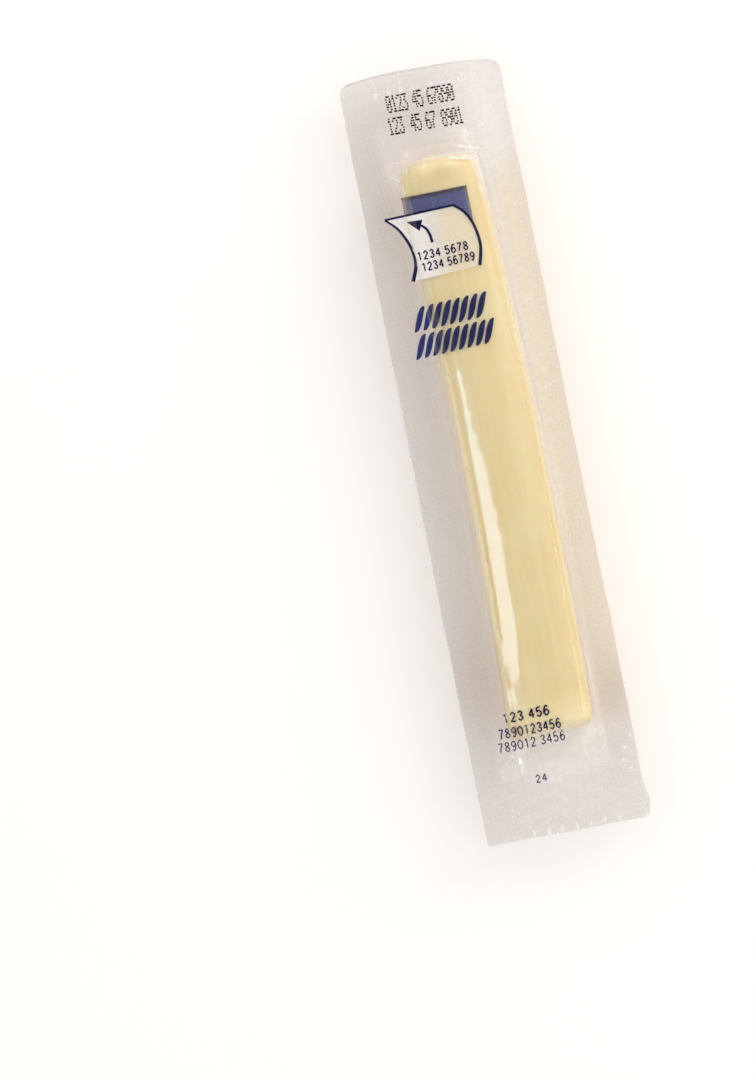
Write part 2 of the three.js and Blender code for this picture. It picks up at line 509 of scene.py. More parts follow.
def add_folds(x, y, sizes, height, milk_with_painted_light):
    """Adds every fold of the lid: a bell-shaped ridge along its curve that tapers to both ends."""
    for points, share, width, milky in LID_FOLDS:
        art = curve_through(points) * MM
        path = np.stack(landed(art[:, 0], art[:, 1], sizes), axis=1)
        reach = 3 * width * MM
        low, high = path.min(axis=0) - reach, path.max(axis=0) + reach
        near = (x > low[0]) & (x < high[0]) & (y > low[1]) & (y < high[1])
        distance, along = nearest_on(path, x[near], y[near])
        taper = np.sin(np.pi * np.clip(along, 0.03, 0.97)) ** 0.5
        ridge = bell(distance, width * MM) * taper
        height[near] += sizes.crease_height * share * ridge
        milk_with_painted_light[near] = np.maximum(milk_with_painted_light[near], np.minimum(1, FOLD_WHITENING * milky) * ridge)


def add_crimps(x, y, sizes, height, milk_with_painted_light):
    """Adds the crimp's short marks: a fine ridge from each cut end, at the code end with a round
    dimple where it stops. Their milk is partly whitening and partly painted highlight that stands
    for the glints on them."""
    half = sizes.length / 2
    for place, length, milky in CODE_END_CRIMPS:
        from_cut = half - CODE_END_BOW * (place * MM / (sizes.width / 2)) ** 2 - y
        beside = x - place * MM
        stem = bell(beside - CODE_CRIMP_LEAN * from_cut, CODE_STEM_WIDTH) * (from_cut < length * MM)
        height += CODE_STEM_HEIGHT * stem
        milk_with_painted_light[:] = np.maximum(milk_with_painted_light, CODE_STEM_MILK * milky * stem)
        dimple = bell(np.hypot(beside * 1.1, from_cut - length * MM), DIMPLE_WIDTH)
        height += DIMPLE_HEIGHT * dimple
        milk_with_painted_light[:] = np.maximum(milk_with_painted_light, milky * dimple)
    for place, length, milky in PLAIN_END_CRIMPS:
        from_cut = y + half
        ridge = bell(x - place * MM - PLAIN_CRIMP_LEAN * from_cut, CRIMP_WIDTH)
        ridge = ridge * smooth_step((length * MM - from_cut) / (0.4 * MM))
        height += PLAIN_CRIMP_HEIGHT * ridge
        milk_with_painted_light[:] = np.maximum(milk_with_painted_light, np.minimum(1, FOLD_WHITENING * milky) * ridge)


def add_ridges(x, y, height, milk_with_painted_light):
    """Adds the two long ridges beside the stick's top, whose crests are painted milky as a highlight,
    beaded with painted sparkles, and the faint long folds in the flange."""
    from_centre = x - stick_centre(y)
    still = np.zeros_like(x)
    wander = RIDGE_WANDER * ripples(still, y, 24 * MM, 31)
    span = smooth_step((y - RIDGE_START) / (3 * MM)) * smooth_step((RIDGE_END - y) / (12 * MM))
    painted_sparkles = np.maximum(0, ripples(still, y, PAINTED_SPARKLE_SPACING, 41)) ** 2
    low_half = smooth_step(-y / (18 * MM))
    for reach, side, milky in ((LEFT_RIDGE_REACH, 1, 0.40), (RIGHT_RIDGE_REACH, -1, 0.45)):
        ridge = bell(from_centre - reach - side * wander, RIDGE_WIDTH) * span
        height += RIDGE_HEIGHT * ridge
        milk_with_painted_light[:] = np.maximum(milk_with_painted_light, milky * ridge * (0.55 + (0.5 + 1.6 * low_half) * painted_sparkles))
    level = smooth_step((56 * MM - np.abs(y)) / (10 * MM))
    for place in FLANGE_FOLDS:
        height += FLANGE_FOLD_HEIGHT * bell(x - place - 3 * wander, FLANGE_FOLD_WIDTH) * level


# Broad soft patches of painted light and painted shade on the lid: their middle and half sizes in
# millimetres, and how much milkier and brighter they are painted, partly the film's own haze, or
# how much greyer, as painted shade, where that is below 0.
LID_PAINTED_TONES = (
    ((11.0, 68.0), (7.0, 14.0), 0.44),
    ((0.0, 66.0), (12.0, 8.0), 0.08),
    ((7.9, 52.0), (1.8, 5.5), 0.42),
    ((6.6, 20.0), (2.0, 36.0), 0.06),
    ((-5.9, -5.0), (1.1, 45.0), 0.12),
    ((0.4, 56.3), (7.0, 0.8), 0.40),
    ((-4.0, 54.3), (2.6, 0.7), 0.20),
    ((-2.4, 53.2), (1.8, 0.5), 0.14),
    ((-8.0, 52.5), (0.9, 3.2), 0.16),
    ((2.0, -58.5), (8.0, 1.3), 0.55),
    ((0.5, -63.5), (6.5, 3.4), 0.45),
    ((0.0, -69.0), (18.0, 9.0), 0.32),
    ((-8.6, 0.0), (1.7, 52.0), 0.15),
    ((11.5, 24.0), (3.0, 42.0), 0.60),
    ((10.2, -48.0), (0.35, 10.0), 0.30),
    ((0.6, 52.7), (5.0, 2.2), -0.30),
    ((-14.0, 54.0), (6.0, 12.0), -0.16),
    ((-13.0, -45.0), (8.0, 11.0), -0.28),
    ((14.5, -51.0), (4.0, 7.0), -0.36),
    ((14.0, -66.0), (5.0, 9.0), -0.12),
)
# Small dents, each painted white as a sparkle: their places and half widths in millimetres.
LID_SPECKS = (
    (13.9, -62.8, 0.32),
    (14.7, -63.6, 0.22),
    (13.0, -64.9, 0.30),
    (13.7, -65.3, 0.26),
    (13.2, -66.2, 0.20),
    (14.2, -66.8, 0.30),
    (12.4, -65.6, 0.18),
    (15.4, -60.4, 0.22),
    (15.1, -69.9, 0.20),
    (13.2, 73.6, 0.22),
    (14.4, 71.2, 0.20),
)
SPECK_HEIGHT = 0.09 * MM
# the cut's milk is partly the film's own whitening and partly painted light along the edge
CUT_MILK = 0.35
CUT_MILK_WIDTH = 0.22 * MM
SLACK_HEIGHT = 0.030 * MM  # the slow ripples of slack film, and the finer puckers on them
PUCKER_HEIGHT = 0.006 * MM


def sealed_share(x, y):
    """1 where the two films are sealed together, 0 over the pocket, with a soft change between."""
    return smooth_step((pocket_reach(x, y) - 0.98) / 0.14)


RUCKED_START, RUCKED_END = 49 * MM, 66 * MM  # from the pack's middle along it
RUCKED_SIDE = 11.5 * MM
HOLLOW_START, HOLLOW_SIDE = 0.97, 1.25  # from the stick's centre line, in its half widths
HOLLOW_END = 62 * MM


def rucked_share(x, y):
    """Where the film lies finely rucked, which dulls its gloss: at the stick's ends, and in the
    hollow along its foot. 1 there, with soft changes to 0."""
    reach = np.abs(y)
    along = smooth_step((reach - RUCKED_START) / (7 * MM))
    along = along * smooth_step((RUCKED_END - reach) / (2 * MM))
    across = smooth_step((RUCKED_SIDE - np.abs(x)) / (1.5 * MM))
    from_centre = np.abs(x - stick_centre(y)) / (STICK_WIDTH / 2)
    foot = smooth_step((from_centre - HOLLOW_START) / 0.03)
    foot = foot * smooth_step((HOLLOW_SIDE - from_centre) / 0.1)
    return np.maximum(along * across, foot * smooth_step((HOLLOW_END - reach) / (4 * MM)))


def lid_marks(x, y, sizes):
    """The lid's fine relief, its milk with painted light in it, and its painted shade, from its painted
    tones, folds, crimps, ridges and specks and from the cut edge, with slow ripples that uneven the
    height."""
    height = np.zeros_like(x)
    # painted light where a patch is above 0, painted shade where it is below 0
    tone = sum(
        amount * bell(np.hypot((x / MM - middle[0]) / half[0], (y / MM - middle[1]) / half[1]), 1)
        for middle, half, amount in LID_PAINTED_TONES
    )
    mottle = 0.12 * ripples(x, y, 3 * MM, 71) + 0.10 * ripples(x, y, 1.9 * MM, 73)
    milk_with_painted_light = np.maximum(tone, 0) * (1 + mottle)
    painted_shade = np.maximum(-tone, 0)
    to_cut = np.minimum(sizes.width / 2 - np.abs(x), sizes.length / 2 - np.abs(y))
    frayed = 0.6 + 0.6 * ripples(x, y, 5 * MM, 72)
    milk_with_painted_light = np.maximum(milk_with_painted_light, CUT_MILK * bell(to_cut, CUT_MILK_WIDTH) * frayed)
    for place_x, place_y, size in LID_SPECKS:
        speck = bell(np.hypot(x - place_x * MM, y - place_y * MM), size * MM)
        height += SPECK_HEIGHT * speck
        milk_with_painted_light = np.maximum(milk_with_painted_light, speck)
    add_folds(x, y, sizes, height, milk_with_painted_light)
    add_crimps(x, y, sizes, height, milk_with_painted_light)
    add_ridges(x, y, height, milk_with_painted_light)
    height += SLACK_HEIGHT * ripples(x, y, 9 * MM, 11, stretch=1.5)
    height += PUCKER_HEIGHT * ripples(x, y, 3.4 * MM, 12, stretch=1.4)
    return height, milk_with_painted_light, painted_shade


def lid_height(x, y, sizes):
    """The lid as it is drawn: smooth, with its folds and marks."""
    relief, _, _ = lid_marks(x, y, sizes)
    return smooth_lid(x, y, sizes) + relief


REST_HEIGHT = 0.02 * MM
PLEAT_HEIGHT = 0.16 * MM
PLEAT_LENGTH = 4 * MM
PLEAT_MILK = 0.2


def formed_height(x, y, sizes):
    """The formed film, which the pack rests on: the smaller of the flange's underside and the
    stick's belly, cut flat where it rests."""
    low = flange(x, y, sizes) - FORMED_SINK - DRAPE_DEPTH * drape(x, y)
    pleats = PLEAT_HEIGHT * ripples(x, y, PLEAT_LENGTH, 21) * drape(x, y)
    middle = sizes.height / 2
    belly = middle - (middle + REST_DEPTH) * stick_crown(x, y)
    return np.maximum(REST_HEIGHT, -blended_max(-low, -belly) + pleats)


# ---------------------------------------------------------------------------
# Meshes
# ---------------------------------------------------------------------------


def new_piece(name, vertices, faces):
    """A smooth mesh object at the origin from whole arrays of places and faces, riding on the pack."""
    mesh = bpy.data.meshes.new(name)
    mesh.from_pydata(vertices, [], faces)
    mesh.validate()
    mesh.polygons.foreach_set("use_smooth", np.full(len(mesh.polygons), True))
    mesh.update()
    piece = bpy.data.objects.new(name, mesh)
    bpy.context.scene.collection.objects.link(piece)
    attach(piece, BODY)
    return piece


def set_values(piece, name, values):
    """Stores one number for each vertex under a name, for a material to read."""
    attribute = piece.data.attributes.new(name, "FLOAT", "POINT")
    attribute.data.foreach_set("value", np.asarray(values, np.float32).ravel())


def grid_faces(rows, columns, first=0, flip=False):
    """The four-cornered faces of a grid of vertices numbered row by row from first."""
    numbers = first + np.arange(rows * columns).reshape(rows, columns)
    corners = [numbers[:-1, :-1], numbers[:-1, 1:], numbers[1:, 1:], numbers[1:, :-1]]
    if flip:
        corners = corners[::-1]
    return np.stack([c.ravel() for c in corners], axis=1)


def border_loop(rows, columns):
    """The numbers of a grid's outermost vertices, once round from its first corner."""
    numbers = np.arange(rows * columns).reshape(rows, columns)
    return np.concatenate(
        [numbers[0, :-1], numbers[:-1, -1], numbers[-1, :0:-1], numbers[:0:-1, 0]]
    )


def even_places(dense, heights, count):
    """count places between the first and last dense one, evenly far apart along the profile that
    the heights make over them."""
    steps = np.hypot(np.diff(dense), np.diff(heights))
    travelled = np.concatenate([[0], np.cumsum(steps)])
    return np.interp(np.linspace(0, travelled[-1], count), travelled, dense)


FINE_REACH = 0.33 * MM
FINE_COLUMNS = 12
DENSE_PLACES = 4001


def pack_grid(sizes, height_of, columns, rows, end_share, fine=()):
    """A grid of places over the pack's outline. Columns are evenly far apart along the section at
    the pack's middle, with more of them round each fine place beside the stick's centre line, and
    rows along its length with end_share of them past the stick's ends. Rows narrow at the round
    corners, and bend to the shallow arc of the code end's cut."""
    half_width, half_length = sizes.width / 2, sizes.length / 2
    dense = np.linspace(-half_width, half_width, DENSE_PLACES)
    section = height_of(dense, np.zeros_like(dense), sizes)
    across = even_places(dense, section, columns)
    for place in fine:
        run = STICK_MIDDLE_X + place + FINE_REACH * np.linspace(-1, 1, FINE_COLUMNS)
        across = across[(across < run[0]) | (across > run[-1])]
        across = np.sort(np.concatenate([across, run]))

    turn = STICK_LENGTH / 2 - 7 * MM
    end_rows = int(rows * end_share / 2)
    dense = np.linspace(turn, half_length, DENSE_PLACES)
    profile = height_of(np.full_like(dense, STICK_MIDDLE_X), dense, sizes)
    end = even_places(dense, profile, end_rows + 1)
    middle = np.linspace(-turn, turn, rows - 2 * end_rows)
    along = np.concatenate([-end[:0:-1], middle, end[1:]])

    x, y = np.meshgrid(across, along)
    keep_edge = 1 - (np.abs(x) / half_width) ** 4
    x = x + (stick_centre(y) - STICK_MIDDLE_X) * keep_edge
    radius = np.where(y > 0, CODE_CORNER_RADIUS, PLAIN_CORNER_RADIUS)
    into_corner = np.maximum(0, np.abs(y) - (half_length - radius))
    inset = radius - np.sqrt(np.maximum(0, radius**2 - into_corner**2))
    x = x * (1 - inset / half_width)
    pocket_end = POCKET_LENGTH / 2
    to_cut = np.maximum(0, (y - pocket_end) / (half_length - pocket_end))
    y = y - CODE_END_BOW * (x / half_width) ** 2 * to_cut
    return wavy_cut(x, y, half_width, half_length)


CUT_WAVE = 0.10 * MM
LEFT_LEAN = 0.55 * MM
LIP = 0.6 * MM
LIP_PLACE = -73.3 * MM
LIP_LENGTH = 1.8 * MM


def wavy_cut(x, y, half_width, half_length):
    """Moves the places near the cut edges a little: slow waves all round, a lean of the left edge at
    the plain end, and the small lip that the knife left on the right there."""
    to_side = np.abs(x / half_width) ** 6
    to_end = np.abs(y / half_length) ** 20
    still = np.zeros_like(x)
    plain = smooth_step((-y - 30 * MM) / (45 * MM))
    x = x + CUT_WAVE * to_side * ripples(still, y, 16 * MM, 61)
    x = x + np.where(x < 0, LEFT_LEAN * plain, 0) * to_side
    x = x + np.where(x > 0, LIP * bell(y - LIP_PLACE, LIP_LENGTH), 0) * to_side
    y = y + 0.8 * CUT_WAVE * to_end * ripples(x, still, 9 * MM, 62)
    return x, y


def unit(vectors):
    """Vectors at length one."""
    return vectors / np.linalg.norm(vectors, axis=-1, keepdims=True)


SLOPE_STEP = 0.05 * MM


def surface(height_of, x, y, sizes):
    """Places on a height field and its unit normals there, (-dz/dx, -dz/dy, 1) at length one, the
    slopes being height differences over a small step each way."""
    step = SLOPE_STEP
    slope_x = (height_of(x + step, y, sizes) - height_of(x - step, y, sizes)) / (2 * step)
    slope_y = (height_of(x, y + step, sizes) - height_of(x, y - step, sizes)) / (2 * step)
    places = np.stack([x, y, height_of(x, y, sizes)], axis=-1)
    return places, unit(np.stack([-slope_x, -slope_y, np.ones_like(x)], axis=-1))


def on_lid(x, y, depth, sizes):
    """Places that lie a depth under the lid, measured down its normal."""
    places, normals = surface(lid_height, x, y, sizes)
    return places - depth * normals


class InkSheet:
    """Flat artwork gathered into one mesh that lies at a set depth under the lid."""

    def __init__(self, sizes, depth):
        self.sizes, self.depth = sizes, depth
        self.places, self.faces, self.count = [], [], 0

    def add_places(self, x, y):
        """Throws flat places onto the lid, and gives the number of the first."""
        first = self.count
        x, y = landed(x, y, self.sizes)
        self.places.append(np.stack([x, y], axis=-1).reshape(-1, 2))
        self.count += x.size
        return first

    def add_grid(self, x, y):
        """A patch from a grid of places, turned face up whichever way its rows run."""
        rows, columns = x.shape
        across = (x[0, 1] - x[0, 0]) * (y[1, 0] - y[0, 0])
        along = (y[0, 1] - y[0, 0]) * (x[1, 0] - x[0, 0])
        first = self.add_places(x, y)
        self.faces += grid_faces(rows, columns, first, flip=across < along).tolist()

    def add_dots(self, x, y, width, height, sides=8):
        """Small flat ovals: each has its corners at even angles round its centre."""
        angles = np.linspace(0, 2 * np.pi, sides, endpoint=False)
        rim_x = x[:, None] + np.cos(angles) * width[:, None] / 2
        rim_y = y[:, None] + np.sin(angles) * height[:, None] / 2
        first = self.add_places(rim_x, rim_y)
        numbers = first + np.arange(rim_x.size).reshape(rim_x.shape)
        self.faces += numbers.tolist()

    def add_stroke(self, path, widths, across=3):
        """A pen stroke: a ribbon along a path of places, its width given at every place, with its
        edges square to the path."""
        path = np.asarray(path, float)
        step = np.gradient(path, axis=0)
        step /= np.linalg.norm(step, axis=1, keepdims=True)
        side = np.stack([-step[:, 1], step[:, 0]], axis=1)
        widths = np.broadcast_to(widths, len(path))
        shares = np.linspace(-0.5, 0.5, across)
        ribbon = path[:, None] + side[:, None] * (shares[None, :] * widths[:, None])[..., None]
        self.add_grid(ribbon[..., 0], ribbon[..., 1])

    def finish(self, name):
        """Makes the one mesh that all the shapes are in."""
        x, y = np.concatenate(self.places).T
        return new_piece(name, on_lid(x, y, self.depth, self.sizes), self.faces)


# ---------------------------------------------------------------------------
# Materials
# ---------------------------------------------------------------------------


class Shader:
    """A material's node tree, with one short call to add a node."""

    def __init__(self, name):
        self.material = bpy.data.materials.new(name)
        self.material.use_nodes = True
        self.tree = self.material.node_tree
        self.tree.nodes.clear()

    def add(self, kind, settings=None, **inputs):
        """Adds a node of a kind, sets its settings, and sets or links its inputs. An input's name
        has its blanks as _, or is its number after in_. A node as a value links its first output."""
        node = self.tree.nodes.new(kind)
        for key, value in (settings or {}).items():
            setattr(node, key, value)
        for key, value in inputs.items():
            place = int(key[3:]) if key.startswith("in_") else key.replace("_", " ")
            socket = node.inputs[place]
            if isinstance(value, bpy.types.Node):
                value = value.outputs[0]
            if isinstance(value, bpy.types.NodeSocket):
                self.tree.links.new(value, socket)
            else:
                socket.default_value = value
        return node

    def lattice(self, pitch, turn):
        """A product of two sine waves over the piece seen from above: bumps and pits on a square
        lattice with the given pitch, turned by an angle. Runs from -1 to 1."""
        scaled = self.add(
            "ShaderNodeMapping",
            Vector=self.add("ShaderNodeTexCoord").outputs["Object"],
            Rotation=(0, 0, turn),
            Scale=(2 * math.pi / pitch,) * 3,
        )
        parts = self.add("ShaderNodeSeparateXYZ", Vector=scaled)
        wave_x = self.add("ShaderNodeMath", {"operation": "SINE"}, in_0=parts.outputs["X"])
        wave_y = self.add("ShaderNodeMath", {"operation": "SINE"}, in_0=parts.outputs["Y"])
        return self.add("ShaderNodeMath", MULTIPLY, in_0=wave_x, in_1=wave_y)

    def finish(self, surface):
        """Links the shader that the surface shows."""
        self.add("ShaderNodeOutputMaterial", Surface=surface)
        return self.material


MULTIPLY = {"operation": "MULTIPLY"}
ADD = {"operation": "ADD"}
MINIMUM = {"operation": "MINIMUM"}
COLOUR_MIX = {"data_type": "RGBA"}

FILM_INDEX = 1.8  # one sheet stands for both faces of a film of index 1.5, which mirror as much
KNURL_PITCH = 1.3 * MM
KNURL_TURN = math.radians(38)
KNURL_RELIEF = 0.008 * MM
KNURL_HAZE = 0.02
DRAWN_WIDTH = 2.2 * MM  # the long faint waves that drawing leaves in the film
DRAWN_LENGTH = 9 * MM
DRAWN_RELIEF = 0.007 * MM
CLOUD_SIZE = 14 * MM
GRAIN_SIZE = 0.8 * MM
# Bright patches of painted light above 1/4 turn crease white as well.
WHITENING = 4.0  # above a milkiness of 1/4 the film is as white as a crease
LIT_THROUGH = 0.2  # the share of its milky light that comes from behind it
MIRROR_CAP = 0.3
RUCKED_ROUGHNESS = 0.42
RUCKED_LOSS = 0.8


def film_relief(shader):
    """The faint diagonal knurl that the sealing plate leaves, and the waves of the drawn film. Gives
    the knurl's height and the normal that both make."""
    add = shader.add
    sealed = add("ShaderNodeAttribute", {"attribute_name": "sealed"}).outputs["Fac"]
    lattice = shader.lattice(KNURL_PITCH, KNURL_TURN)
    knurl = add("ShaderNodeMath", MULTIPLY, in_0=lattice, in_1=sealed)
    knurl_bump = add("ShaderNodeBump", Height=knurl, Strength=1.0, Distance=KNURL_RELIEF)
    drawn = add(
        "ShaderNodeMapping",
        Vector=add("ShaderNodeTexCoord").outputs["Object"],
        Scale=(1 / DRAWN_WIDTH, 1 / DRAWN_LENGTH, 1 / DRAWN_WIDTH),
    )
    drawing = add("ShaderNodeTexNoise", Vector=drawn, Scale=1.0, Detail=2.0, Roughness=0.5)
    bump = add(
        "ShaderNodeBump", Height=drawing, Strength=1.0, Distance=DRAWN_RELIEF, Normal=knurl_bump
    )
    return knurl, bump


def film_haze(shader, haze_share, knurl, milk_and_painted_light):
    """How much of the film is milk: clouded and grained all over, and more on the knurl's bumps and
    where its own milk and painted light say so."""
    add = shader.add
    place = add("ShaderNodeTexCoord").outputs["Object"]
    cloud = add("ShaderNodeTexNoise", Vector=place, Scale=1 / CLOUD_SIZE, Detail=3.0)
    grain = add("ShaderNodeTexNoise", Vector=place, Scale=1 / GRAIN_SIZE, Detail=2.0)
    clouded = add("ShaderNodeMapRange", Value=cloud, To_Min=0.4 * haze_share, To_Max=haze_share)
    grain_haze = add("ShaderNodeMath", MULTIPLY, in_0=grain, in_1=0.6 * haze_share)
    grained = add("ShaderNodeMath", ADD, in_0=clouded, in_1=grain_haze)
    knurl_haze = add("ShaderNodeMath", MULTIPLY, in_0=knurl, in_1=KNURL_HAZE)
    knurled = add("ShaderNodeMath", ADD, in_0=grained, in_1=knurl_haze)
    return add("ShaderNodeMath", {**ADD, "use_clamp": True}, in_0=knurled, in_1=milk_and_painted_light)


def film_colours(shader, colours, milk_and_painted_light):
    """What the film lets through, which its painted shade greys, and the colour of its milk, which
    turns whiter in creases and in bright patches of painted light. Both are painted warmer where the
    cheese's glow would light them."""
    add = shader.add
    warmth = add("ShaderNodeAttribute", {"attribute_name": "warmth"}).outputs["Fac"]
    smokiness = add("ShaderNodeAttribute", {"attribute_name": "smokiness"}).outputs["Fac"]
    whiteness = add(
        "ShaderNodeMath", {**MULTIPLY, "use_clamp": True}, in_0=milk_and_painted_light, in_1=WHITENING
    )
    film, warm_film, painted_shade = (*colours.film, 1.0), (*colours.warm_film, 1.0), (*colours.painted_shade, 1.0)
    haze, warm_haze, crease = (*colours.haze, 1.0), (*colours.warm_haze, 1.0), (*colours.crease, 1.0)
    warmed = add("ShaderNodeMix", COLOUR_MIX, Factor=warmth, in_6=film, in_7=warm_film)
    tint = add("ShaderNodeMix", COLOUR_MIX, Factor=smokiness, in_6=warmed.outputs[2], in_7=painted_shade)
    white = add("ShaderNodeMix", COLOUR_MIX, Factor=whiteness, in_6=haze, in_7=crease)
    milk_with_painted_light = add("ShaderNodeMix", COLOUR_MIX, Factor=warmth, in_6=white.outputs[2], in_7=warm_haze)
    return tint.outputs[2], milk_with_painted_light.outputs[2]


def film_material(name, colours, haze_share, roughness):
    """Clear coextruded packing film, cast and chill-rolled: glossy on both faces, a little milky, and
    whitened where it is sharply folded, with painted light, painted shade and a painted warm glow
    where its attributes say so. Where it lies finely rucked, its gloss is dull."""
    shader = Shader(name)
    add = shader.add
    milk_and_painted_light = add("ShaderNodeAttribute", {"attribute_name": "milk_and_painted_light"}).outputs["Fac"]
    rucked = add("ShaderNodeAttribute", {"attribute_name": "rucked"}).outputs["Fac"]
    knurl, bump = film_relief(shader)
    tint, milk_colour = film_colours(shader, colours, milk_and_painted_light)
    clear = add("ShaderNodeBsdfTransparent", Color=tint)
    back = add("ShaderNodeBsdfDiffuse", Color=milk_colour, Normal=bump)
    through = add("ShaderNodeBsdfTranslucent", Color=milk_colour, Normal=bump)
    milk_with_painted_light = add("ShaderNodeMixShader", Fac=LIT_THROUGH, in_1=back, in_2=through)
    haze = film_haze(shader, haze_share, knurl, milk_and_painted_light)
    body = add("ShaderNodeMixShader", Fac=haze, in_1=clear, in_2=milk_with_painted_light)
    dull = add("ShaderNodeMapRange", Value=rucked, To_Min=roughness, To_Max=RUCKED_ROUGHNESS)
    gloss = add("ShaderNodeBsdfGlossy", Color=(1, 1, 1, 1), Roughness=dull, Normal=bump)
    inside = add("ShaderNodeNewGeometry").outputs["Backfacing"]
    index = add("ShaderNodeMapRange", Value=inside, To_Min=FILM_INDEX, To_Max=1 / FILM_INDEX)
    mirror_share = add("ShaderNodeFresnel", IOR=index, Normal=bump)
    capped = add("ShaderNodeMath", MINIMUM, in_0=mirror_share, in_1=MIRROR_CAP)
    kept = add("ShaderNodeMapRange", Value=rucked, To_Min=1.0, To_Max=1 - RUCKED_LOSS)
    share = add("ShaderNodeMath", MULTIPLY, in_0=capped, in_1=kept)
    return shader.finish(add("ShaderNodeMixShader", Fac=share, in_1=body, in_2=gloss))


FIBRE_WIDTH = 1.1 * MM
FIBRE_LENGTH = 34 * MM
FIBRE_RELIEF = 0.04 * MM
CURD_CLOUD_SIZE = 6 * MM
LIGHT_REACH = 1.7 * MM  # how far light wanders in the cheese


def cheese_material(colours):
    """Pulled-curd mozzarella, extruded as a rope and cut: smooth, moist and slightly see-through, with
    fine fibres along it that part its cream yellow into paler and warmer threads."""
    shader = Shader("pulled_curd_cheese")
    add = shader.add
    place = add("ShaderNodeTexCoord").outputs["Object"]
    scale = (1 / FIBRE_WIDTH, 1 / FIBRE_LENGTH, 1 / FIBRE_WIDTH)
    threads = add("ShaderNodeMapping", Vector=place, Scale=scale)
    fibre = add("ShaderNodeTexNoise", Vector=threads, Scale=1.0, Detail=4.0, Roughness=0.6)
    cloud = add("ShaderNodeTexNoise", Vector=place, Scale=1 / CURD_CLOUD_SIZE, Detail=3.0)
    fibre_share = add("ShaderNodeMath", MULTIPLY, in_0=fibre, in_1=0.7)
    cloud_share = add("ShaderNodeMath", MULTIPLY, in_0=cloud, in_1=0.5)
    share = add("ShaderNodeMath", ADD, in_0=fibre_share, in_1=cloud_share)
    spread = add("ShaderNodeMapRange", Value=share, From_Min=0.40, From_Max=0.78)
    deep, pale = (*colours.cheese_deep, 1.0), (*colours.cheese, 1.0)
    colour = add("ShaderNodeMix", COLOUR_MIX, Factor=spread, in_6=deep, in_7=pale)
    bump = add("ShaderNodeBump", Height=fibre, Strength=1.0, Distance=FIBRE_RELIEF)
    surface = add(
        "ShaderNodeBsdfPrincipled",
        Base_Color=colour.outputs[2],
        Roughness=0.42,
        IOR=1.42,
        Subsurface_Weight=0.85,
        Subsurface_Radius=(1.0, 0.70, 0.42),
        Subsurface_Scale=LIGHT_REACH,
        Normal=bump,
    )
    return shader.finish(surface)


INK_INDEX = 1.5
INK_SPECKLE_SIZE = 0.35 * MM
INK_MIRROR_CAP = 0.08


def ink_material(name, body_colour, pass_colour, cover, glossy=False):
    """Gravure ink: thin enough that what lies behind it tints it, so it is dark over the cheese and
    brighter over the pale flange. Where it lies outermost, it mirrors as the film does."""
    shader = Shader(name)
    add = shader.add
    place = add("ShaderNodeTexCoord").outputs["Object"]
    speckle = add("ShaderNodeTexNoise", Vector=place, Scale=1 / INK_SPECKLE_SIZE, Detail=2.0)
    most = min(1.0, cover * 1.1)
    uneven = add("ShaderNodeMapRange", Value=speckle, To_Min=cover * 0.9, To_Max=most)
    passing = add("ShaderNodeBsdfTransparent", Color=(*pass_colour, 1.0))
    solid = add("ShaderNodeBsdfDiffuse", Color=(*body_colour, 1.0))
    surface = add("ShaderNodeMixShader", Fac=uneven, in_1=passing, in_2=solid)
    if glossy:
        gloss = add("ShaderNodeBsdfGlossy", Color=(1, 1, 1, 1), Roughness=0.12)
        fresnel = add("ShaderNodeFresnel", IOR=INK_INDEX)
        share = add("ShaderNodeMath", MINIMUM, in_0=fresnel, in_1=INK_MIRROR_CAP)
        surface = add("ShaderNodeMixShader", Fac=share, in_1=surface, in_2=gloss)
    return shader.finish(surface)


def fine_ink(colours):
    """The blue ink in fine lines and digits, where it looks less blue than in the broad bands. The
    peel mark and the digits share it."""
    existing = bpy.data.materials.get("fine_gravure_ink")
    passing = linear("#38427F")
    return existing or ink_material("fine_gravure_ink", colours.fine_ink, passing, 0.14, glossy=True)


SCREEN_CELL = 0.66 * MM
SCREEN_TURN = math.radians(45)
BLOT_SIZE = 0.5 * MM


def screened_ink_material(colours):
    """The same blue ink laid down through a halftone screen. Where the artwork's own cover falls off
    at its edges, the screen's cells break up into single dots."""
    shader = Shader("screened_gravure_ink")
    add = shader.add
    place = add("ShaderNodeTexCoord").outputs["Object"]
    screen = shader.lattice(SCREEN_CELL * math.sqrt(2), SCREEN_TURN)
    noise = add("ShaderNodeTexNoise", Vector=place, Scale=1 / BLOT_SIZE, Detail=2.0)
    cover = add("ShaderNodeAttribute", {"attribute_name": "cover"}).outputs["Fac"]
    dots = add("ShaderNodeMath", MULTIPLY, in_0=screen, in_1=0.16)
    cells = add("ShaderNodeMath", ADD, in_0=cover, in_1=dots)
    blots = add("ShaderNodeMath", {"operation": "SUBTRACT"}, in_0=noise, in_1=0.5)
    blotted = add("ShaderNodeMath", ADD, in_0=cells, in_1=blots)
    printed = add("ShaderNodeMapRange", Value=blotted, From_Min=0.2, From_Max=0.95, To_Max=0.95)
    passing = add("ShaderNodeBsdfTransparent", Color=rgba("#C4C9E4"))
    solid = add("ShaderNodeBsdfDiffuse", Color=(*colours.screened_ink, 1.0))
    return shader.finish(add("ShaderNodeMixShader", Fac=printed, in_1=passing, in_2=solid))


BACKING_SPECKLE_SIZE = 0.6 * MM


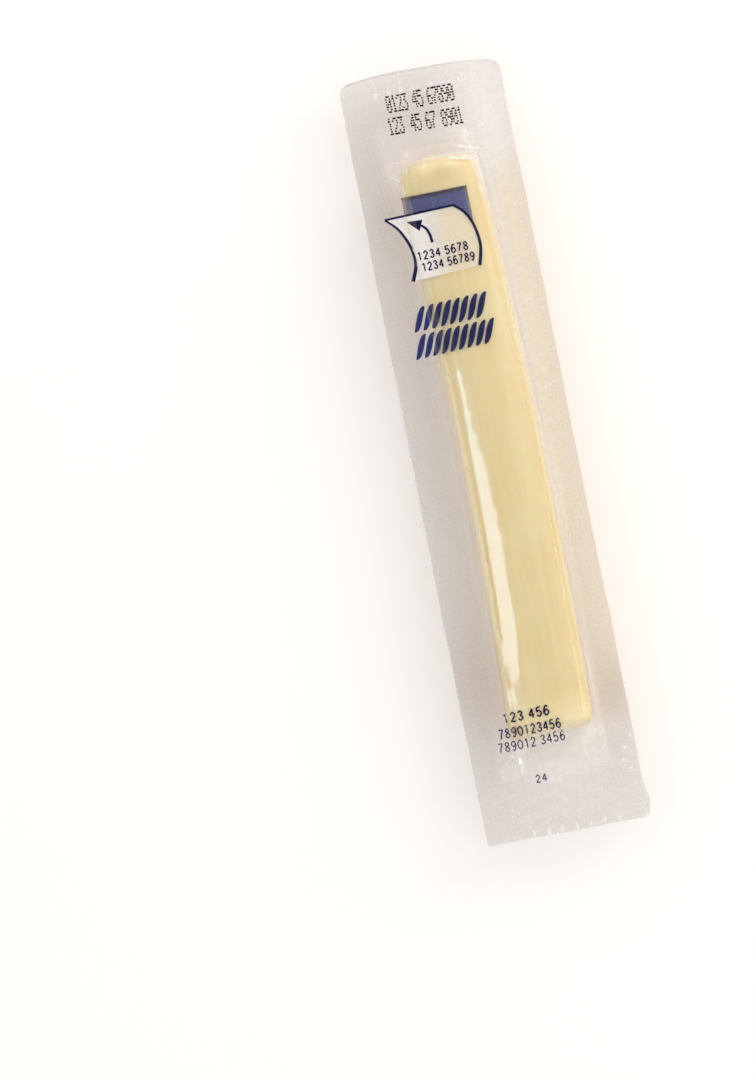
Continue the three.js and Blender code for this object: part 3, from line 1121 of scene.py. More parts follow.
def backing_material(colours):
    """The thin white laid behind the peel mark's sheet, denser where its cover says so."""
    shader = Shader("white_backing_ink")
    add = shader.add
    place = add("ShaderNodeTexCoord").outputs["Object"]
    cover = add("ShaderNodeAttribute", {"attribute_name": "cover"}).outputs["Fac"]
    speckle = add("ShaderNodeTexNoise", Vector=place, Scale=1 / BACKING_SPECKLE_SIZE, Detail=2.0)
    uneven = add("ShaderNodeMapRange", Value=speckle, To_Min=0.85, To_Max=1.15)
    share = add("ShaderNodeMath", MULTIPLY, in_0=cover, in_1=uneven)
    clear = add("ShaderNodeBsdfTransparent", Color=(1, 1, 1, 1))
    white = add("ShaderNodeBsdfDiffuse", Color=(*colours.backing, 1.0))
    return shader.finish(add("ShaderNodeMixShader", Fac=share, in_1=clear, in_2=white))


def floor_material(colour, glow):
    """Matt white acrylic over a light table: an even pale ground with the faintest mottle, a little
    of whose light comes from below."""
    shader = Shader("matt_white_acrylic")
    add = shader.add
    place = add("ShaderNodeTexCoord").outputs["Object"]
    mottle = add("ShaderNodeTexNoise", Vector=place, Scale=40.0, Detail=3.0)
    share = add("ShaderNodeMapRange", Value=mottle, To_Min=0.0, To_Max=0.04)
    pale, dark = (*colour, 1.0), rgba("#DDD9D4")
    tone = add("ShaderNodeMix", COLOUR_MIX, Factor=share, in_6=pale, in_7=dark)
    surface = add(
        "ShaderNodeBsdfPrincipled",
        Base_Color=tone.outputs[2],
        Roughness=0.9,
        Emission_Color=(*colour, 1.0),
        Emission_Strength=glow,
    )
    return shader.finish(surface)


# ---------------------------------------------------------------------------
# Operators: films and cheese
# ---------------------------------------------------------------------------


# painted light: the turned-down cut edge is painted milky so that it reads pale, not dark
EDGE_MILK = 0.6
# where the painted warm glow lies, beside the stick and short of its ends
WARM_SIDE = 9.5 * MM
WARM_END = 60 * MM
RIDGE_PAINTED_GLOW = 0.8


def painted_glow_of_lid(x, y):
    """How much painted glow the lid gets, a warm tint that stands for the cheese's light falling on it:
    on the flange at the right, where the light comes through the stick, and along both ridges, where
    it warms their painted highlights. It fades to the stick's ends."""
    from_centre = x - stick_centre(y)
    left = bell(from_centre - LEFT_RIDGE_REACH, 1.2 * MM)
    right = bell(from_centre - RIGHT_RIDGE_REACH, 0.5 * MM)
    level = smooth_step((WARM_END - np.abs(y)) / (12 * MM))
    side = smooth_step((x - WARM_SIDE) / (3 * MM))
    return np.maximum(side, RIDGE_PAINTED_GLOW * (left + right)) * level


class PACK_OT_lid(bpy.types.Operator):
    """Makes the lid film, with its cut edge turned down onto the formed film"""

    bl_idname = "cheese_pack.lid"
    bl_label = "Lid film"

    def execute(self, context):
        sizes = context.scene.pack_sizes
        ridges = (LEFT_RIDGE_REACH, RIGHT_RIDGE_REACH)
        x, y = pack_grid(sizes, smooth_lid, columns=136, rows=600, end_share=0.5, fine=ridges)
        relief, milk_with_painted_light, painted_shade = lid_marks(x, y, sizes)
        z = smooth_lid(x, y, sizes) + relief
        rows, columns = x.shape
        loop = border_loop(rows, columns)
        top = np.stack([x, y, z], axis=-1).reshape(-1, 3)
        edge = top[loop].copy()
        edge[:, 2] = formed_height(edge[:, 0], edge[:, 1], sizes)
        below = rows * columns + np.arange(len(loop))
        strip = np.stack([loop, below, np.roll(below, -1), np.roll(loop, -1)], axis=1)
        faces = np.concatenate([grid_faces(rows, columns), strip]).tolist()
        lid = new_piece("lid_film", np.concatenate([top, edge]), faces)
        # each value over the lid, and the same all along its turned edge
        values = {
            "milk_and_painted_light": (milk_with_painted_light, EDGE_MILK),
            # painted shade from the grey patches
            "smokiness": (painted_shade, 0),
            "warmth": (painted_glow_of_lid(x, y), 0),
            "sealed": (sealed_share(x, y), 1),
            "rucked": (rucked_share(x, y) * np.clip(2.1 - 4 * milk_with_painted_light, 0, 1), 0),  # not in creases
        }
        for name, (over_lid, at_edge) in values.items():
            set_values(lid, name, np.concatenate([over_lid.ravel(), np.full(len(loop), at_edge)]))
        colours = context.scene.pack_colours
        lid.data.materials.append(film_material("clear_lid_film", colours, 0.05, 0.06))
        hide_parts("sealed_pack")
        return {"FINISHED"}


class PACK_OT_formed(bpy.types.Operator):
    """Makes the formed film with its pocket, which the pack rests on"""

    bl_idname = "cheese_pack.formed"
    bl_label = "Formed film"

    def execute(self, context):
        sizes = context.scene.pack_sizes
        x, y = pack_grid(sizes, formed_height, columns=120, rows=300, end_share=0.45)
        z = formed_height(x, y, sizes)
        rows, columns = x.shape
        vertices = np.stack([x, y, z], axis=-1).reshape(-1, 3)
        faces = grid_faces(rows, columns, flip=True).tolist()
        formed = new_piece("formed_film", vertices, faces)
        milk_with_painted_light = PLEAT_MILK * drape(x, y) * (0.5 + 0.5 * ripples(x, y, PLEAT_LENGTH, 21))
        set_values(formed, "milk_and_painted_light", np.clip(milk_with_painted_light, 0, 1))
        set_values(formed, "sealed", sealed_share(x, y))
        colours = context.scene.pack_colours
        formed.data.materials.append(film_material("clear_formed_film", colours, 0.07, 0.12))
        return {"FINISHED"}


def ring_places(half_width, half_length, power, end_power, rings=170):
    """The rings from one end's middle to the stick's middle, as shares of its half width and half
    length, with size^n + reach^m = 1 for the powers n and m. They are evenly far apart along that
    outline, of which the cap is followed by its size and the long side by its reach."""
    cap = np.linspace(0, 0.97, 400)
    cap_reach = (1 - cap**power) ** (1 / end_power)
    side_reach = np.linspace(cap_reach[-1], 0, 4000)[1:]
    size = np.concatenate([cap, (1 - side_reach**end_power) ** (1 / power)])
    reach = np.concatenate([cap_reach, side_reach])
    steps = np.hypot(np.diff(size) * half_width, np.diff(reach) * half_length)
    travelled = np.concatenate([[0], np.cumsum(steps)])
    even = np.linspace(0, travelled[-1], rings)[1:]
    return np.interp(even, travelled, size), np.interp(even, travelled, reach)


STICK_COLUMNS = 132
STICK_FLOOR = 0.2 * MM  # the lowest that the cheese lies, inside the formed film
FIBRE_UNEVENNESS = 0.004
GIRTH_UNEVENNESS = 0.006


class PACK_OT_stick(bpy.types.Operator):
    """Makes the cheese stick that lies between the films"""

    bl_idname = "cheese_pack.stick"
    bl_label = "Cheese stick"

    def execute(self, context):
        sizes = context.scene.pack_sizes
        around = STICK_COLUMNS
        gap = sizes.stick_gap
        half_length = STICK_LENGTH / 2 - gap
        half_width = STICK_WIDTH / 2 - gap
        upper = sizes.height / 2 - FILM_THICKNESS - gap
        lower = sizes.height / 2 + REST_DEPTH - gap

        plain_power = STICK_SQUARENESS + PLAIN_END_GAIN
        halves = (half_width, half_length)
        low_size, low_reach = ring_places(*halves, plain_power, PLAIN_END_SQUARENESS)
        high_size, high_reach = ring_places(*halves, STICK_SQUARENESS, CODE_END_SQUARENESS)
        scale = np.concatenate([low_size, high_size[-2::-1]])
        y = half_length * np.concatenate([-low_reach, high_reach[-2::-1]])[:, None] * np.ones(around)

        angle = np.linspace(0, 2 * np.pi, around, endpoint=False)
        power = 2 / section_power(y)
        side = np.sign(np.cos(angle)) * np.abs(np.cos(angle)) ** power
        rise = np.sign(np.sin(angle)) * np.abs(np.sin(angle)) ** power
        girth = half_width * angle * np.ones_like(y)
        rough = 1 + FIBRE_UNEVENNESS * ripples(girth, y, 2.3 * MM, 51, stretch=9)
        rough += GIRTH_UNEVENNESS * ripples(girth, y, 9 * MM, 52, stretch=3)
        x = stick_centre(y) + half_width * scale[:, None] * side * rough
        z = sizes.height / 2 + np.where(rise > 0, upper, lower) * scale[:, None] * rise * rough
        z = np.clip(z, STICK_FLOOR, sizes.height - gap)

        rows = len(scale)
        ends = (-half_length, half_length)
        poles = np.array([(stick_centre(end), end, sizes.height / 2) for end in ends], float)
        vertices = np.concatenate([np.stack([x, y, z], axis=-1).reshape(-1, 3), poles])
        numbers = np.arange(rows * around).reshape(rows, around)
        beside = np.roll(numbers, -1, axis=1)
        walls = np.stack([numbers[:-1], numbers[1:], beside[1:], beside[:-1]], axis=-1).reshape(-1, 4)
        first_pole, last_pole = rows * around, rows * around + 1
        faces = walls.tolist()
        faces += [(int(a), int(b), first_pole) for a, b in zip(numbers[0], beside[0])]
        faces += [(int(b), int(a), last_pole) for a, b in zip(numbers[-1], beside[-1])]
        stick = new_piece("cheese_stick", vertices, faces)
        stick.data.materials.append(cheese_material(context.scene.pack_colours))
        return {"FINISHED"}


# ---------------------------------------------------------------------------
# Operators: print
# ---------------------------------------------------------------------------

INK_DEPTH = 0.07 * MM  # just under the lid film
CODE_DEPTH = -0.02 * MM  # just above it
SHEET_DEPTH = -0.06 * MM

# The dotted code: plain counting digits, each five dots wide and seven high.
DOT_DIGITS = (
    "01110 10001 10011 10101 11001 10001 01110",
    "00100 01100 00100 00100 00100 00100 01110",
    "01110 10001 00001 00010 00100 01000 11111",
    "11111 00010 00100 00010 00001 10001 01110",
    "00010 00110 01010 10010 11111 00010 00010",
    "11111 10000 11110 00001 00001 10001 01110",
    "00110 01000 10000 11110 10001 10001 01110",
    "11111 00001 00010 00100 01000 01000 01000",
    "01110 10001 10001 01110 10001 10001 01110",
    "01110 10001 10001 01111 00001 00010 01100",
)
# Each group of digits: its text, its left end and its lower edge in millimetres.
CODE_GROUPS = (
    ("0123", -7.2, 68.9),
    ("45", -2.0, 69.1),
    ("67890", 1.0, 69.2),
    ("123", -7.7, 64.4),
    ("45", -3.2, 64.4),
    ("67", -0.2, 64.4),
    ("8901", 3.0, 64.3),
)
# The dots in millimetres: the steps from dot to dot and from digit to digit, how far each row leans
# from the one above it, how far dots stray, and their least and greatest width and height.
DOT_COLUMN_STEP, DOT_ROW_STEP, DOT_DIGIT_STEP = 0.195, 0.52, 1.07
DOT_LEAN = 0.02
DOT_STRAY = 0.02
DOT_WIDTHS = (0.32, 0.44)
DOT_HEIGHTS = (0.33, 0.46)
LAST_DOT_ROW = 6


class PACK_OT_code(bpy.types.Operator):
    """Prints the dotted code at the pack's end, as plain counting digits"""

    bl_idname = "cheese_pack.code"
    bl_label = "Dotted code"

    def execute(self, context):
        draw = np.random.default_rng(context.scene.pack_stage.seed)
        places = []
        for text, left, low in CODE_GROUPS:
            for i, digit in enumerate(text):
                for row, dots in enumerate(DOT_DIGITS[int(digit)].split()):
                    for column, dot in enumerate(dots):
                        if dot == "1":
                            x = left + i * DOT_DIGIT_STEP + column * DOT_COLUMN_STEP
                            y = low + (LAST_DOT_ROW - row) * DOT_ROW_STEP
                            places.append((x + DOT_LEAN * row, y))
        spots = np.array(places) * MM
        spots += draw.normal(0, DOT_STRAY * MM, spots.shape)
        widths = draw.uniform(*DOT_WIDTHS, len(spots)) * MM
        heights = draw.uniform(*DOT_HEIGHTS, len(spots)) * MM
        sheet = InkSheet(context.scene.pack_sizes, CODE_DEPTH)
        sheet.add_dots(spots[:, 0], spots[:, 1], widths, heights)
        code = sheet.finish("code_dots")
        colour = context.scene.pack_colours.code_ink
        passing = (0.02, 0.02, 0.02)
        code.data.materials.append(ink_material("thermal_code_ink", colour, passing, 0.96))
        return {"FINISHED"}


# Plain digits as pen strokes, each through places in hundredths of the digit's box: across, then up.
DIGIT_STROKES = {
    "0": (((50, 100), (6, 72), (6, 28), (50, 0), (94, 28), (94, 72), (50, 100)),),
    "1": (((22, 78), (58, 100)), ((58, 100), (58, 0))),
    "2": (((8, 74), (50, 100), (90, 72), (52, 36), (6, 0)), ((6, 0), (94, 0))),
    "3": (((10, 82), (52, 100), (86, 76), (46, 53)), ((46, 53), (93, 28), (50, 0), (6, 20))),
    "4": (((70, 0), (70, 100)), ((70, 100), (4, 30)), ((4, 30), (98, 30))),
    "5": (
        ((86, 100), (20, 100)),
        ((20, 100), (12, 50)),
        ((12, 50), (56, 64), (92, 32), (50, 0), (6, 18)),
    ),
    "6": (((84, 88), (46, 100), (8, 50), (14, 14), (52, 0), (92, 30), (54, 60), (10, 36)),),
    "7": (((6, 100), (94, 100)), ((94, 100), (50, 45), (34, 0))),
    "8": (((50, 54), (14, 78), (50, 100), (86, 78), (50, 54), (6, 27), (50, 0), (94, 27), (50, 54)),),
    "9": (((16, 12), (54, 0), (92, 50), (86, 86), (48, 100), (8, 70), (46, 40), (90, 62)),),
}
DIGIT_WIDTH = 0.72  # a digit's own width as a share of the pitch


def add_digits(lines, text, left, low, height, pitch, rise, pen):
    """A row of plain digits. Every length is in millimetres, rise is how much the row climbs for
    each millimetre to the right, and a blank leaves a gap of half a digit."""
    x = left
    for digit in text:
        if digit == " ":
            x += 0.5 * pitch
            continue
        for stroke in DIGIT_STROKES[digit]:
            shares = np.array(stroke) / 100
            box = shares * (DIGIT_WIDTH * pitch, height) + (x, low + rise * (x - left))
            lines.add_stroke(curve_through(box, steps=5) * MM, pen * MM, across=2)
        x += pitch


# The peel mark, in millimetres: a screened field, and a sheet whose left and right sides curl.
SCREEN_LEFT, SCREEN_RIGHT = -7.8, 5.1
SCREEN_TOP_LEFT, SCREEN_TOP_RIGHT = 51.3, 51.6
SCREEN_FOOT = 41.9  # the sheet's right side bounds the field above this height
SCREEN_EDGE = 0.35
SCREEN_DOT_PITCH = 0.46
TOP_DOT_SIZE, TOP_DOT_SHRINK, SIDE_DOT_SIZE = 0.38, 0.06, 0.30
LEFT_DOTS_FOOT, RIGHT_DOTS_FOOT = 47.9, 44.2
SHEET_LEFT = ((-11.9, 47.6), (-9.9, 45.6), (-8.6, 43.3), (-7.7, 40.5), (-7.6, 37.6), (-8.7, 34.5))
SHEET_RIGHT = (
    (1.8, 48.2),
    (3.6, 46.6),
    (4.8, 44.4),
    (5.4, 42.0),
    (5.6, 39.6),
    (5.3, 37.6),
    (4.7, 35.4),
)
ARROW_SHAFT = ((-3.5, 41.6), (-3.7, 43.2), (-4.2, 44.5), (-5.05, 45.35))
ARROW_TIP = (-7.7, 46.5)
ARROW_LENGTH = 2.9
ARROW_WIDTH = 2.3
# The outline's pen along the left side, the head and the right side, and the arrow's, from width to
# width in millimetres.
LEFT_PEN, HEAD_PEN, RIGHT_PEN, ARROW_PEN = (0.42, 0.75), 0.45, (0.45, 0.66), (0.56, 0.46)
SHEET_COLUMNS = 160
# The rows of digits: text, left end, foot, height, pitch, rise and pen width.
PEEL_ROWS = (
    ("1234 5678", -6.9, 38.5, 1.6, 1.22, 0.05, 0.28),
    ("1234 56789", -6.4, 36.2, 1.6, 1.13, 0.05, 0.28),
)


class PACK_OT_peel_mark(bpy.types.Operator):
    """Prints the peel mark: a screened field, a curled sheet with its outline, an arrow and two rows
    of digits"""

    bl_idname = "cheese_pack.peel_mark"
    bl_label = "Peel mark"

    def execute(self, context):
        sizes = context.scene.pack_sizes
        colours = context.scene.pack_colours
        left = curve_through(SHEET_LEFT)
        right = curve_through(SHEET_RIGHT)
        numbers = np.arange(len(right))
        right_at = np.linspace(0, numbers[-1], len(left))
        right = np.stack([np.interp(right_at, numbers, right[:, i]) for i in (0, 1)], axis=1)
        self.print_field(sizes, colours, right)
        self.print_edge_dots(sizes, colours)
        self.print_sheet(sizes, colours, left, right)
        self.print_lines(sizes, colours, left, right)
        return {"FINISHED"}

    def print_sheet(self, sizes, colours, left, right):
        """The sheet's own white between its two curled sides, denser on the left."""
        share = np.linspace(0, 1, SHEET_COLUMNS)
        x = left[:, None, 0] * (1 - share) + right[:, None, 0] * share
        y = left[:, None, 1] * (1 - share) + right[:, None, 1] * share
        panel = InkSheet(sizes, SHEET_DEPTH)
        panel.add_grid(x * MM, y * MM)
        sheet = panel.finish("peel_sheet")
        set_values(sheet, "cover", 0.36 + 0.58 * smooth_step((1.5 - x) / 8.0))
        sheet.data.materials.append(backing_material(colours))

    def print_lines(self, sizes, colours, left, right):
        """The sheet's outline, which widens to its foot, the arrow and the rows of digits."""
        lines = InkSheet(sizes, 1.5 * SHEET_DEPTH)
        lines.add_stroke(left * MM, np.linspace(*LEFT_PEN, len(left)) * MM)
        lines.add_stroke(np.linspace(left[0], right[0], 60) * MM, HEAD_PEN * MM)
        lines.add_stroke(right * MM, np.linspace(*RIGHT_PEN, len(right)) * MM)
        shaft = curve_through(ARROW_SHAFT)
        lines.add_stroke(shaft * MM, np.linspace(*ARROW_PEN, len(shaft)) * MM)
        tip = np.array(ARROW_TIP)
        back = (shaft[-1] - tip) / np.linalg.norm(shaft[-1] - tip)
        head = np.linspace(tip + ARROW_LENGTH * back, tip, 12)
        lines.add_stroke(head * MM, np.linspace(ARROW_WIDTH, 0.05, 12) * MM, across=5)
        for row in PEEL_ROWS:
            add_digits(lines, *row)
        lines.finish("peel_outline").data.materials.append(fine_ink(colours))

    def print_field(self, sizes, colours, right):
        """The screened field: straight sides and top, its foot on the sheet's outline. Its cover
        falls from full to none over its outermost strip, but not at its foot."""
        x = np.linspace(SCREEN_LEFT, SCREEN_RIGHT, 90)
        outline = np.vstack([SHEET_LEFT[0], right[right[:, 1] > SCREEN_FOOT]])
        foot = np.interp(x, outline[:, 0], outline[:, 1])
        top = np.interp(x, [SCREEN_LEFT, SCREEN_RIGHT], [SCREEN_TOP_LEFT, SCREEN_TOP_RIGHT])
        share = np.linspace(0, 1, 60)[:, None]
        y = top * (1 - share) + foot * share
        x = np.broadcast_to(x, y.shape)
        wash = InkSheet(sizes, INK_DEPTH + 0.02 * MM)
        wash.add_grid(x * MM, y * MM)
        field = wash.finish("peel_field")
        inside = np.minimum(np.minimum(x - SCREEN_LEFT, SCREEN_RIGHT - x), top - y) / SCREEN_EDGE
        set_values(field, "cover", 0.15 + 0.5 * np.clip(inside, 0, 1))
        field.data.materials.append(screened_ink_material(colours))

    def print_edge_dots(self, sizes, colours):
        """The screen's own dots, printed near black where the field begins: four staggered rows
        along its top that shrink downwards, and one column down each side."""
        sheet = InkSheet(sizes, INK_DEPTH)
        pitch = SCREEN_DOT_PITCH
        for row in range(4):
            x = np.arange(SCREEN_LEFT + pitch * (row % 2) / 2, SCREEN_RIGHT + 0.05, pitch)
            top = np.interp(x, [SCREEN_LEFT, SCREEN_RIGHT], [SCREEN_TOP_LEFT, SCREEN_TOP_RIGHT])
            size = np.full(x.shape, (TOP_DOT_SIZE - TOP_DOT_SHRINK * row) * MM)
            sheet.add_dots(x * MM, (top - row * pitch / 2) * MM, size, size, sides=6)
        for side, top, foot in (
            (SCREEN_LEFT, SCREEN_TOP_LEFT, LEFT_DOTS_FOOT),
            (SCREEN_RIGHT, SCREEN_TOP_RIGHT, RIGHT_DOTS_FOOT),
        ):
            y = np.arange(foot, top, pitch)
            size = np.full(y.shape, SIDE_DOT_SIZE * MM)
            sheet.add_dots(np.full(y.shape, side * MM), y * MM, size, size, sides=6)
        ink = ink_material("dark_screen_ink", colours.code_ink, linear("#5A567A"), 0.45)
        sheet.finish("peel_dots").data.materials.append(ink)


# The two rope bands in the middle: left end, right end, foot, height, and how many strands show.
ROPE_BANDS = ((-10.3, 4.9, 24.6, 4.5, 8), (-11.0, 5.4, 19.2, 4.4, 9))
ROPE_RISE = 0.055
STRAND_OVERLAP = 0.6  # how far a strand reaches under the next one, in pitches
STRAND_TIP, STRAND_SWELL, STRAND_FULLNESS = 0.16, 1.0, 0.7


def rope_band(lines, left, right, foot, height, strands):
    """A row of the strands that show on a twisted rope: each an S that climbs to the right,
    x = p (i + (1 + o) t), y = h (1 - cos(pi t))/2, broad in its middle and pointed at its ends. p is
    the pitch, o the overlap, and t runs from 0 to 1 along a strand."""
    pitch = (right - left) / (strands + STRAND_OVERLAP)
    t = np.linspace(0, 1, 25)
    for i in range(strands):
        x = left + pitch * (i + (1 + STRAND_OVERLAP) * t)
        y = foot + height * (1 - np.cos(np.pi * t)) / 2 + ROPE_RISE * (x - left)
        widths = STRAND_TIP + STRAND_SWELL * np.sin(np.pi * t) ** STRAND_FULLNESS
        lines.add_stroke(np.stack([x, y], axis=1) * MM, widths * MM, across=5)


class PACK_OT_bands(bpy.types.Operator):
    """Prints the two large rope bands"""

    bl_idname = "cheese_pack.bands"
    bl_label = "Rope bands"

    def execute(self, context):
        lines = InkSheet(context.scene.pack_sizes, CODE_DEPTH)
        for band in ROPE_BANDS:
            rope_band(lines, *band)
        bands = lines.finish("rope_bands")
        colour = context.scene.pack_colours.ink
        ink = ink_material("blue_gravure_ink", colour, linear("#3C4AA0"), 0.16, glossy=True)
        bands.data.materials.append(ink)
        return {"FINISHED"}


# The rows of digits at the plain end: text, left end, foot, height, pitch, rise and pen width.
END_ROWS = (
    ("123 456", -7.9, -53.8, 1.75, 1.45, 0.02, 0.33),
    ("7890123456", -9.2, -56.7, 1.75, 1.24, 0.02, 0.28),
    ("789012 3456", -9.8, -59.3, 1.75, 1.27, 0.03, 0.22),
    ("24", -3.9, -66.1, 1.4, 1.25, 0.02, 0.21),
)


class PACK_OT_digits(bpy.types.Operator):
    """Prints the rows of plain digits and the lane number at the plain end"""

    bl_idname = "cheese_pack.digits"
    bl_label = "Rows of digits"

    def execute(self, context):
        lines = InkSheet(context.scene.pack_sizes, CODE_DEPTH)
        for row in END_ROWS:
            add_digits(lines, *row)
        digits = lines.finish("end_digits")
        digits.data.materials.append(fine_ink(context.scene.pack_colours))
        return {"FINISHED"}


# ---------------------------------------------------------------------------
# Stage
# ---------------------------------------------------------------------------


def softbox(name, place, target, size, radiance, colour):
    """A flat rectangular light at a place, turned to face a target. Its power is radiance times pi
    times its area."""
    light = bpy.data.lights.new(name, "AREA")
    light.shape = "RECTANGLE"
    light.size, light.size_y = size
    light.energy = radiance * math.pi * size[0] * size[1]
    light.color = linear(colour)
    lamp = bpy.data.objects.new(name, light)
    lamp.location = place
    lamp.rotation_mode = "QUATERNION"
    lamp.rotation_quaternion = (Vector(place) - Vector(target)).to_track_quat("Z", "Y")
    bpy.context.scene.collection.objects.link(lamp)
    return lamp


COOL_GLARE = "#CFDEF6"
WARM_GLARE = "#FFDCC0"

# The glare on the lid, in millimetres as flat artwork: each patch's share of full strength and its
# colour, then its place along the pack, left edge and right edge from its head to its foot. The long
# left patch first, its lower piece, the soft right patch, and the fine lines along the two ridges.
GLARE = (
    (
        1.0,
        COOL_GLARE,
        (
            (13.8, -3.80, -3.40),
            (10.0, -3.75, -3.00),
            (7.0, -3.80, -2.75),
            (4.0, -3.95, -2.35),
            (0.0, -4.00, -2.20),
            (-5.0, -4.10, -2.00),
            (-15.0, -4.15, -1.70),
            (-25.0, -4.35, -1.75),
            (-30.0, -4.70, -2.05),
            (-35.0, -4.80, -2.00),
            (-38.0, -5.20, -2.50),
            (-41.0, -5.50, -2.90),
            (-44.5, -5.30, -3.00),
            (-46.0, -4.90, -3.20),
            (-46.5, -4.50, -3.60),
        ),
    ),
    (
        0.9,
        COOL_GLARE,
        ((-48.4, -5.7, -5.1), (-49.2, -6.2, -4.6), (-51.5, -6.2, -4.5), (-52.5, -6.0, -4.8)),
    ),
    (
        0.12,
        COOL_GLARE,
        ((40.0, 6.2, 7.1), (32.0, 5.8, 7.4), (22.0, 5.7, 7.3), (17.5, 5.8, 7.2), (16.4, 6.3, 6.9)),
    ),
    (
        0.25,
        WARM_GLARE,
        ((18.0, -5.30, -5.20), (-10.0, -5.30, -5.20), (-40.0, -5.75, -5.65), (-50.0, -6.2, -6.1)),
    ),
    (
        0.25,
        WARM_GLARE,
        ((-10.0, 8.30, 8.40), (-30.0, 8.25, 8.40), (-45.0, 8.1, 8.25), (-56.0, 7.9, 8.05)),
    ),
)
EDGE_WAVE = 0.13
PLATE_DEPTH = 0.6  # the plate lies lower than every card that steep film mirrors
CARD_REACH = 0.44

# The creases that flash: a place on the pack in millimetres, and the slopes there along x and y.
GLINTS = (
    (0.0, 73.0, 0.27, -0.32),
    (0.0, 73.0, -0.22, -0.32),
    (0.0, -75.5, 0.30, 0.36),
    (0.0, -75.5, -0.30, 0.36),
)
GLINT_SIZE = 0.13

SQUARE_FACE = [(0, 1, 2, 3)]
PLATE_COLOUR = "#FFF8EE"
ROOM_COLOUR = "#FEFEFF"
KEY_COLOUR = "#FFF1D9"
KEY_PLACE = (0.45, 0.25, 0.28)
KEY_SIZE = (0.35, 0.35)
SENSOR_WIDTH = 36.0
CLIP_START, CLIP_END = 0.01, 50.0


def mirrored(places, normals):
    """The places that the camera sees mirrored at some places on the pack: with v the direction to
    the camera and n the normal, each lies CARD_REACH away along 2 (v.n) n - v."""
    view = unit(np.array(ART_POINT) - places)
    facing = np.sum(view * normals, axis=-1, keepdims=True)
    return places + CARD_REACH * (2 * facing * normals - view)


def glare_card(name, edges, colour, radiance, sizes):
    """A bright card round the left or right of the pack, cut so that the lid mirrors it as the patch
    with the given edges, which are made a little wavy."""
    rows, columns = 240, 6
    along, left, right = np.array(edges).T[:, ::-1]
    y = np.linspace(along[0], along[-1], rows)[:, None] * np.ones(columns)
    left, right = np.interp(y, along, left), np.interp(y, along, right)
    wave = EDGE_WAVE * (right - left)
    still = np.zeros_like(y)
    left = left + wave * ripples(still, y * MM, 4 * MM, 81)
    right = right + wave * ripples(still, y * MM, 5 * MM, 82)
    share = np.linspace(0, 1, columns)
    x, y = landed((left * (1 - share) + right * share) * MM, y * MM, sizes)
    corners = mirrored(*surface(smooth_lid, x, y, sizes)).reshape(-1, 3)
    mirror_only(name, corners, grid_faces(rows, columns).tolist(), colour, radiance)


def square(size, z=0):
    """The corners of a level square round the origin, in the order that SQUARE_FACE names them."""
    half = size / 2
    return [(-half, -half, z), (half, -half, z), (half, half, z), (-half, half, z)]


def glint_card(name, place, far, radiance):
    """A small bright square far away that faces a place on the pack."""
    facing = (Vector(place) - Vector(far)).to_track_quat("Z", "Y")
    corners = [Vector(far) + facing @ Vector(corner) for corner in square(GLINT_SIZE)]
    mirror_only(name, corners, SQUARE_FACE, "#FFFFFF", radiance)


def mirror_only(name, corners, faces, colour, radiance):
    """A glowing sheet that only glossy surfaces show, and only those that are seen themselves: its
    glow stops where a ray has met a matt surface, so that it throws no specks of light."""
    mesh = bpy.data.meshes.new(name)
    mesh.from_pydata(corners, [], faces)
    shader = Shader(name)
    ray = shader.add("ShaderNodeLightPath")
    seen = shader.add(
        "ShaderNodeMath", {"operation": "LESS_THAN"}, in_0=ray.outputs["Diffuse Depth"], in_1=0.5
    )
    strength = shader.add("ShaderNodeMath", MULTIPLY, in_0=seen, in_1=radiance)
    glow = shader.add("ShaderNodeEmission", Color=rgba(colour), Strength=strength)
    mesh.materials.append(shader.finish(glow))
    sheet = bpy.data.objects.new(name, mesh)
    sheet.visible_camera = False
    sheet.visible_diffuse = False
    sheet.visible_transmission = False
    sheet.visible_shadow = False
    bpy.context.scene.collection.objects.link(sheet)


def make_floor(scene, stage):
    """The pale floor, and a plate far below it that only the glossy film mirrors."""
    mesh = bpy.data.meshes.new("floor")
    mesh.from_pydata(square(stage.floor_size), [], SQUARE_FACE)
    mesh.materials.append(floor_material(stage.floor_colour, stage.glow))
    floor = bpy.data.objects.new("floor", mesh)
    floor.visible_glossy = False
    scene.collection.objects.link(floor)
    low_corners = square(stage.floor_size, -PLATE_DEPTH)
    mirror_only("low_plate", low_corners, SQUARE_FACE, PLATE_COLOUR, stage.low_plate)


def make_room(scene, stage):
    """The soft light from all round, which the film doesn't mirror."""
    world = bpy.data.worlds.new("soft_room")
    world.use_nodes = True
    background = world.node_tree.nodes["Background"]
    background.inputs["Color"].default_value = rgba(ROOM_COLOUR)
    background.inputs["Strength"].default_value = stage.ambient
    world.cycles_visibility.glossy = False
    scene.world = world


def make_lights(scene, stage):
    """The soft key light, the cards of the glare and the squares that make the creases flash."""
    key = softbox("key_right", KEY_PLACE, (0, 0, 0), KEY_SIZE, stage.key, KEY_COLOUR)
    key.visible_glossy = False
    for number, (share, colour, edges) in enumerate(GLARE):
        glare_card(f"glare_card_{number}", edges, colour, stage.card * share, scene.pack_sizes)
    for number, (x, y, slope_x, slope_y) in enumerate(GLINTS):
        place = np.array([x, y, FLANGE_TOP / MM]) * MM
        far = mirrored(place, unit(np.array([-slope_x, -slope_y, 1.0])))
        glint_card(f"glint_{number}", place, far, stage.glint)


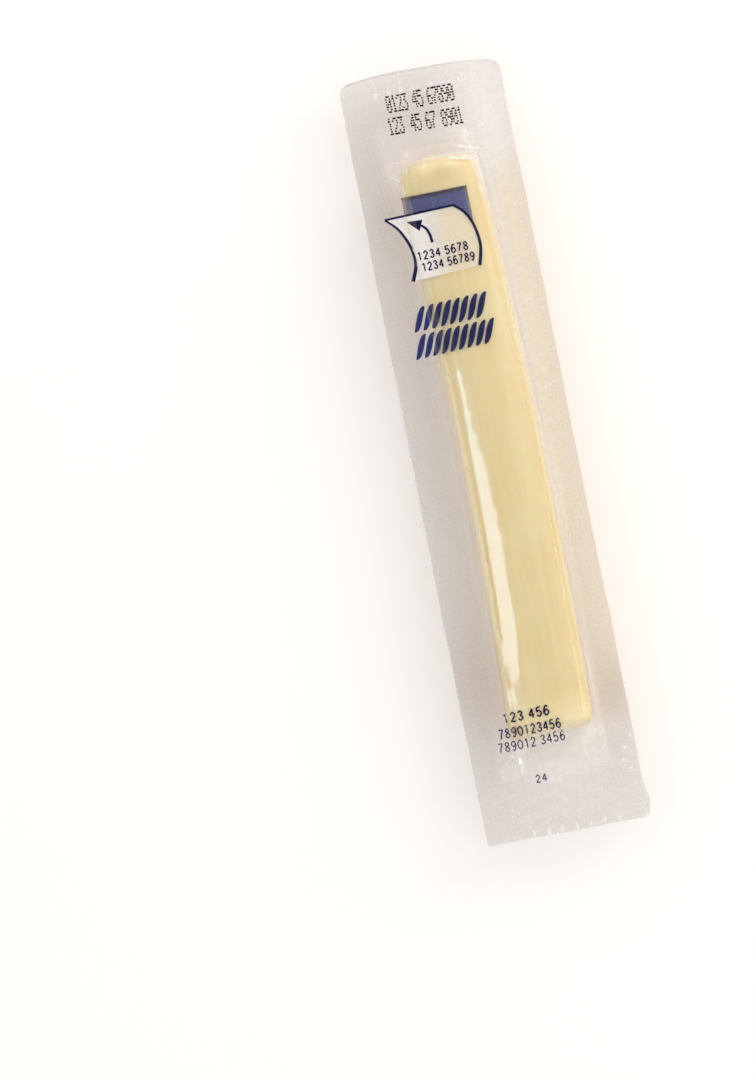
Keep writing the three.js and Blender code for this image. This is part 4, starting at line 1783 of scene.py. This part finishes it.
def make_camera(scene, stage):
    """The camera at the photo's own place."""
    camera_data = bpy.data.cameras.new("camera")
    camera_data.lens = stage.lens
    camera_data.sensor_fit = "AUTO"
    camera_data.sensor_width = SENSOR_WIDTH
    camera_data.clip_start, camera_data.clip_end = CLIP_START, CLIP_END
    camera = bpy.data.objects.new("camera", camera_data)
    camera.location = stage.camera_place
    camera.rotation_euler = stage.camera_turn
    scene.collection.objects.link(camera)
    scene.camera = camera


class PACK_OT_stage(bpy.types.Operator):
    """Makes the plain pale floor, the soft lights and the camera"""

    bl_idname = "cheese_pack.stage"
    bl_label = "Stage"

    def execute(self, context):
        scene = context.scene
        for make in (make_floor, make_room, make_lights, make_camera):
            make(scene, scene.pack_stage)
        scene.view_settings.view_transform = "Standard"
        return {"FINISHED"}


# ---------------------------------------------------------------------------
# Panel and registration
# ---------------------------------------------------------------------------

STEPS = (
    PACK_OT_lid,
    PACK_OT_formed,
    PACK_OT_stick,
    PACK_OT_code,
    PACK_OT_peel_mark,
    PACK_OT_bands,
    PACK_OT_digits,
    PACK_OT_stage,
)


class PACK_PT_panel(bpy.types.Panel):
    """Lists the pack's pieces in the sidebar"""

    bl_idname = "PACK_PT_panel"
    bl_label = "Cheese Pack"
    bl_space_type = "VIEW_3D"
    bl_region_type = "UI"
    bl_category = "Cheese Pack"

    def draw(self, context):
        for step in STEPS:
            self.layout.operator(step.bl_idname)


SETTINGS = (("pack_sizes", PackSizes), ("pack_colours", PackColours), ("pack_stage", PackStage))


def register():
    for name, group in SETTINGS:
        bpy.utils.register_class(group)
        setattr(bpy.types.Scene, name, PointerProperty(type=group))
    for kind in (*STEPS, PACK_PT_panel):
        bpy.utils.register_class(kind)


def unregister():
    for kind in reversed((*STEPS, PACK_PT_panel)):
        bpy.utils.unregister_class(kind)
    for name, group in reversed(SETTINGS):
        delattr(bpy.types.Scene, name)
        bpy.utils.unregister_class(group)


def main():
    """Makes every piece in order."""
    register()
    for step in STEPS:
        group, call = step.bl_idname.split(".")
        getattr(getattr(bpy.ops, group), call)()


if __name__ == "__main__":
    main()
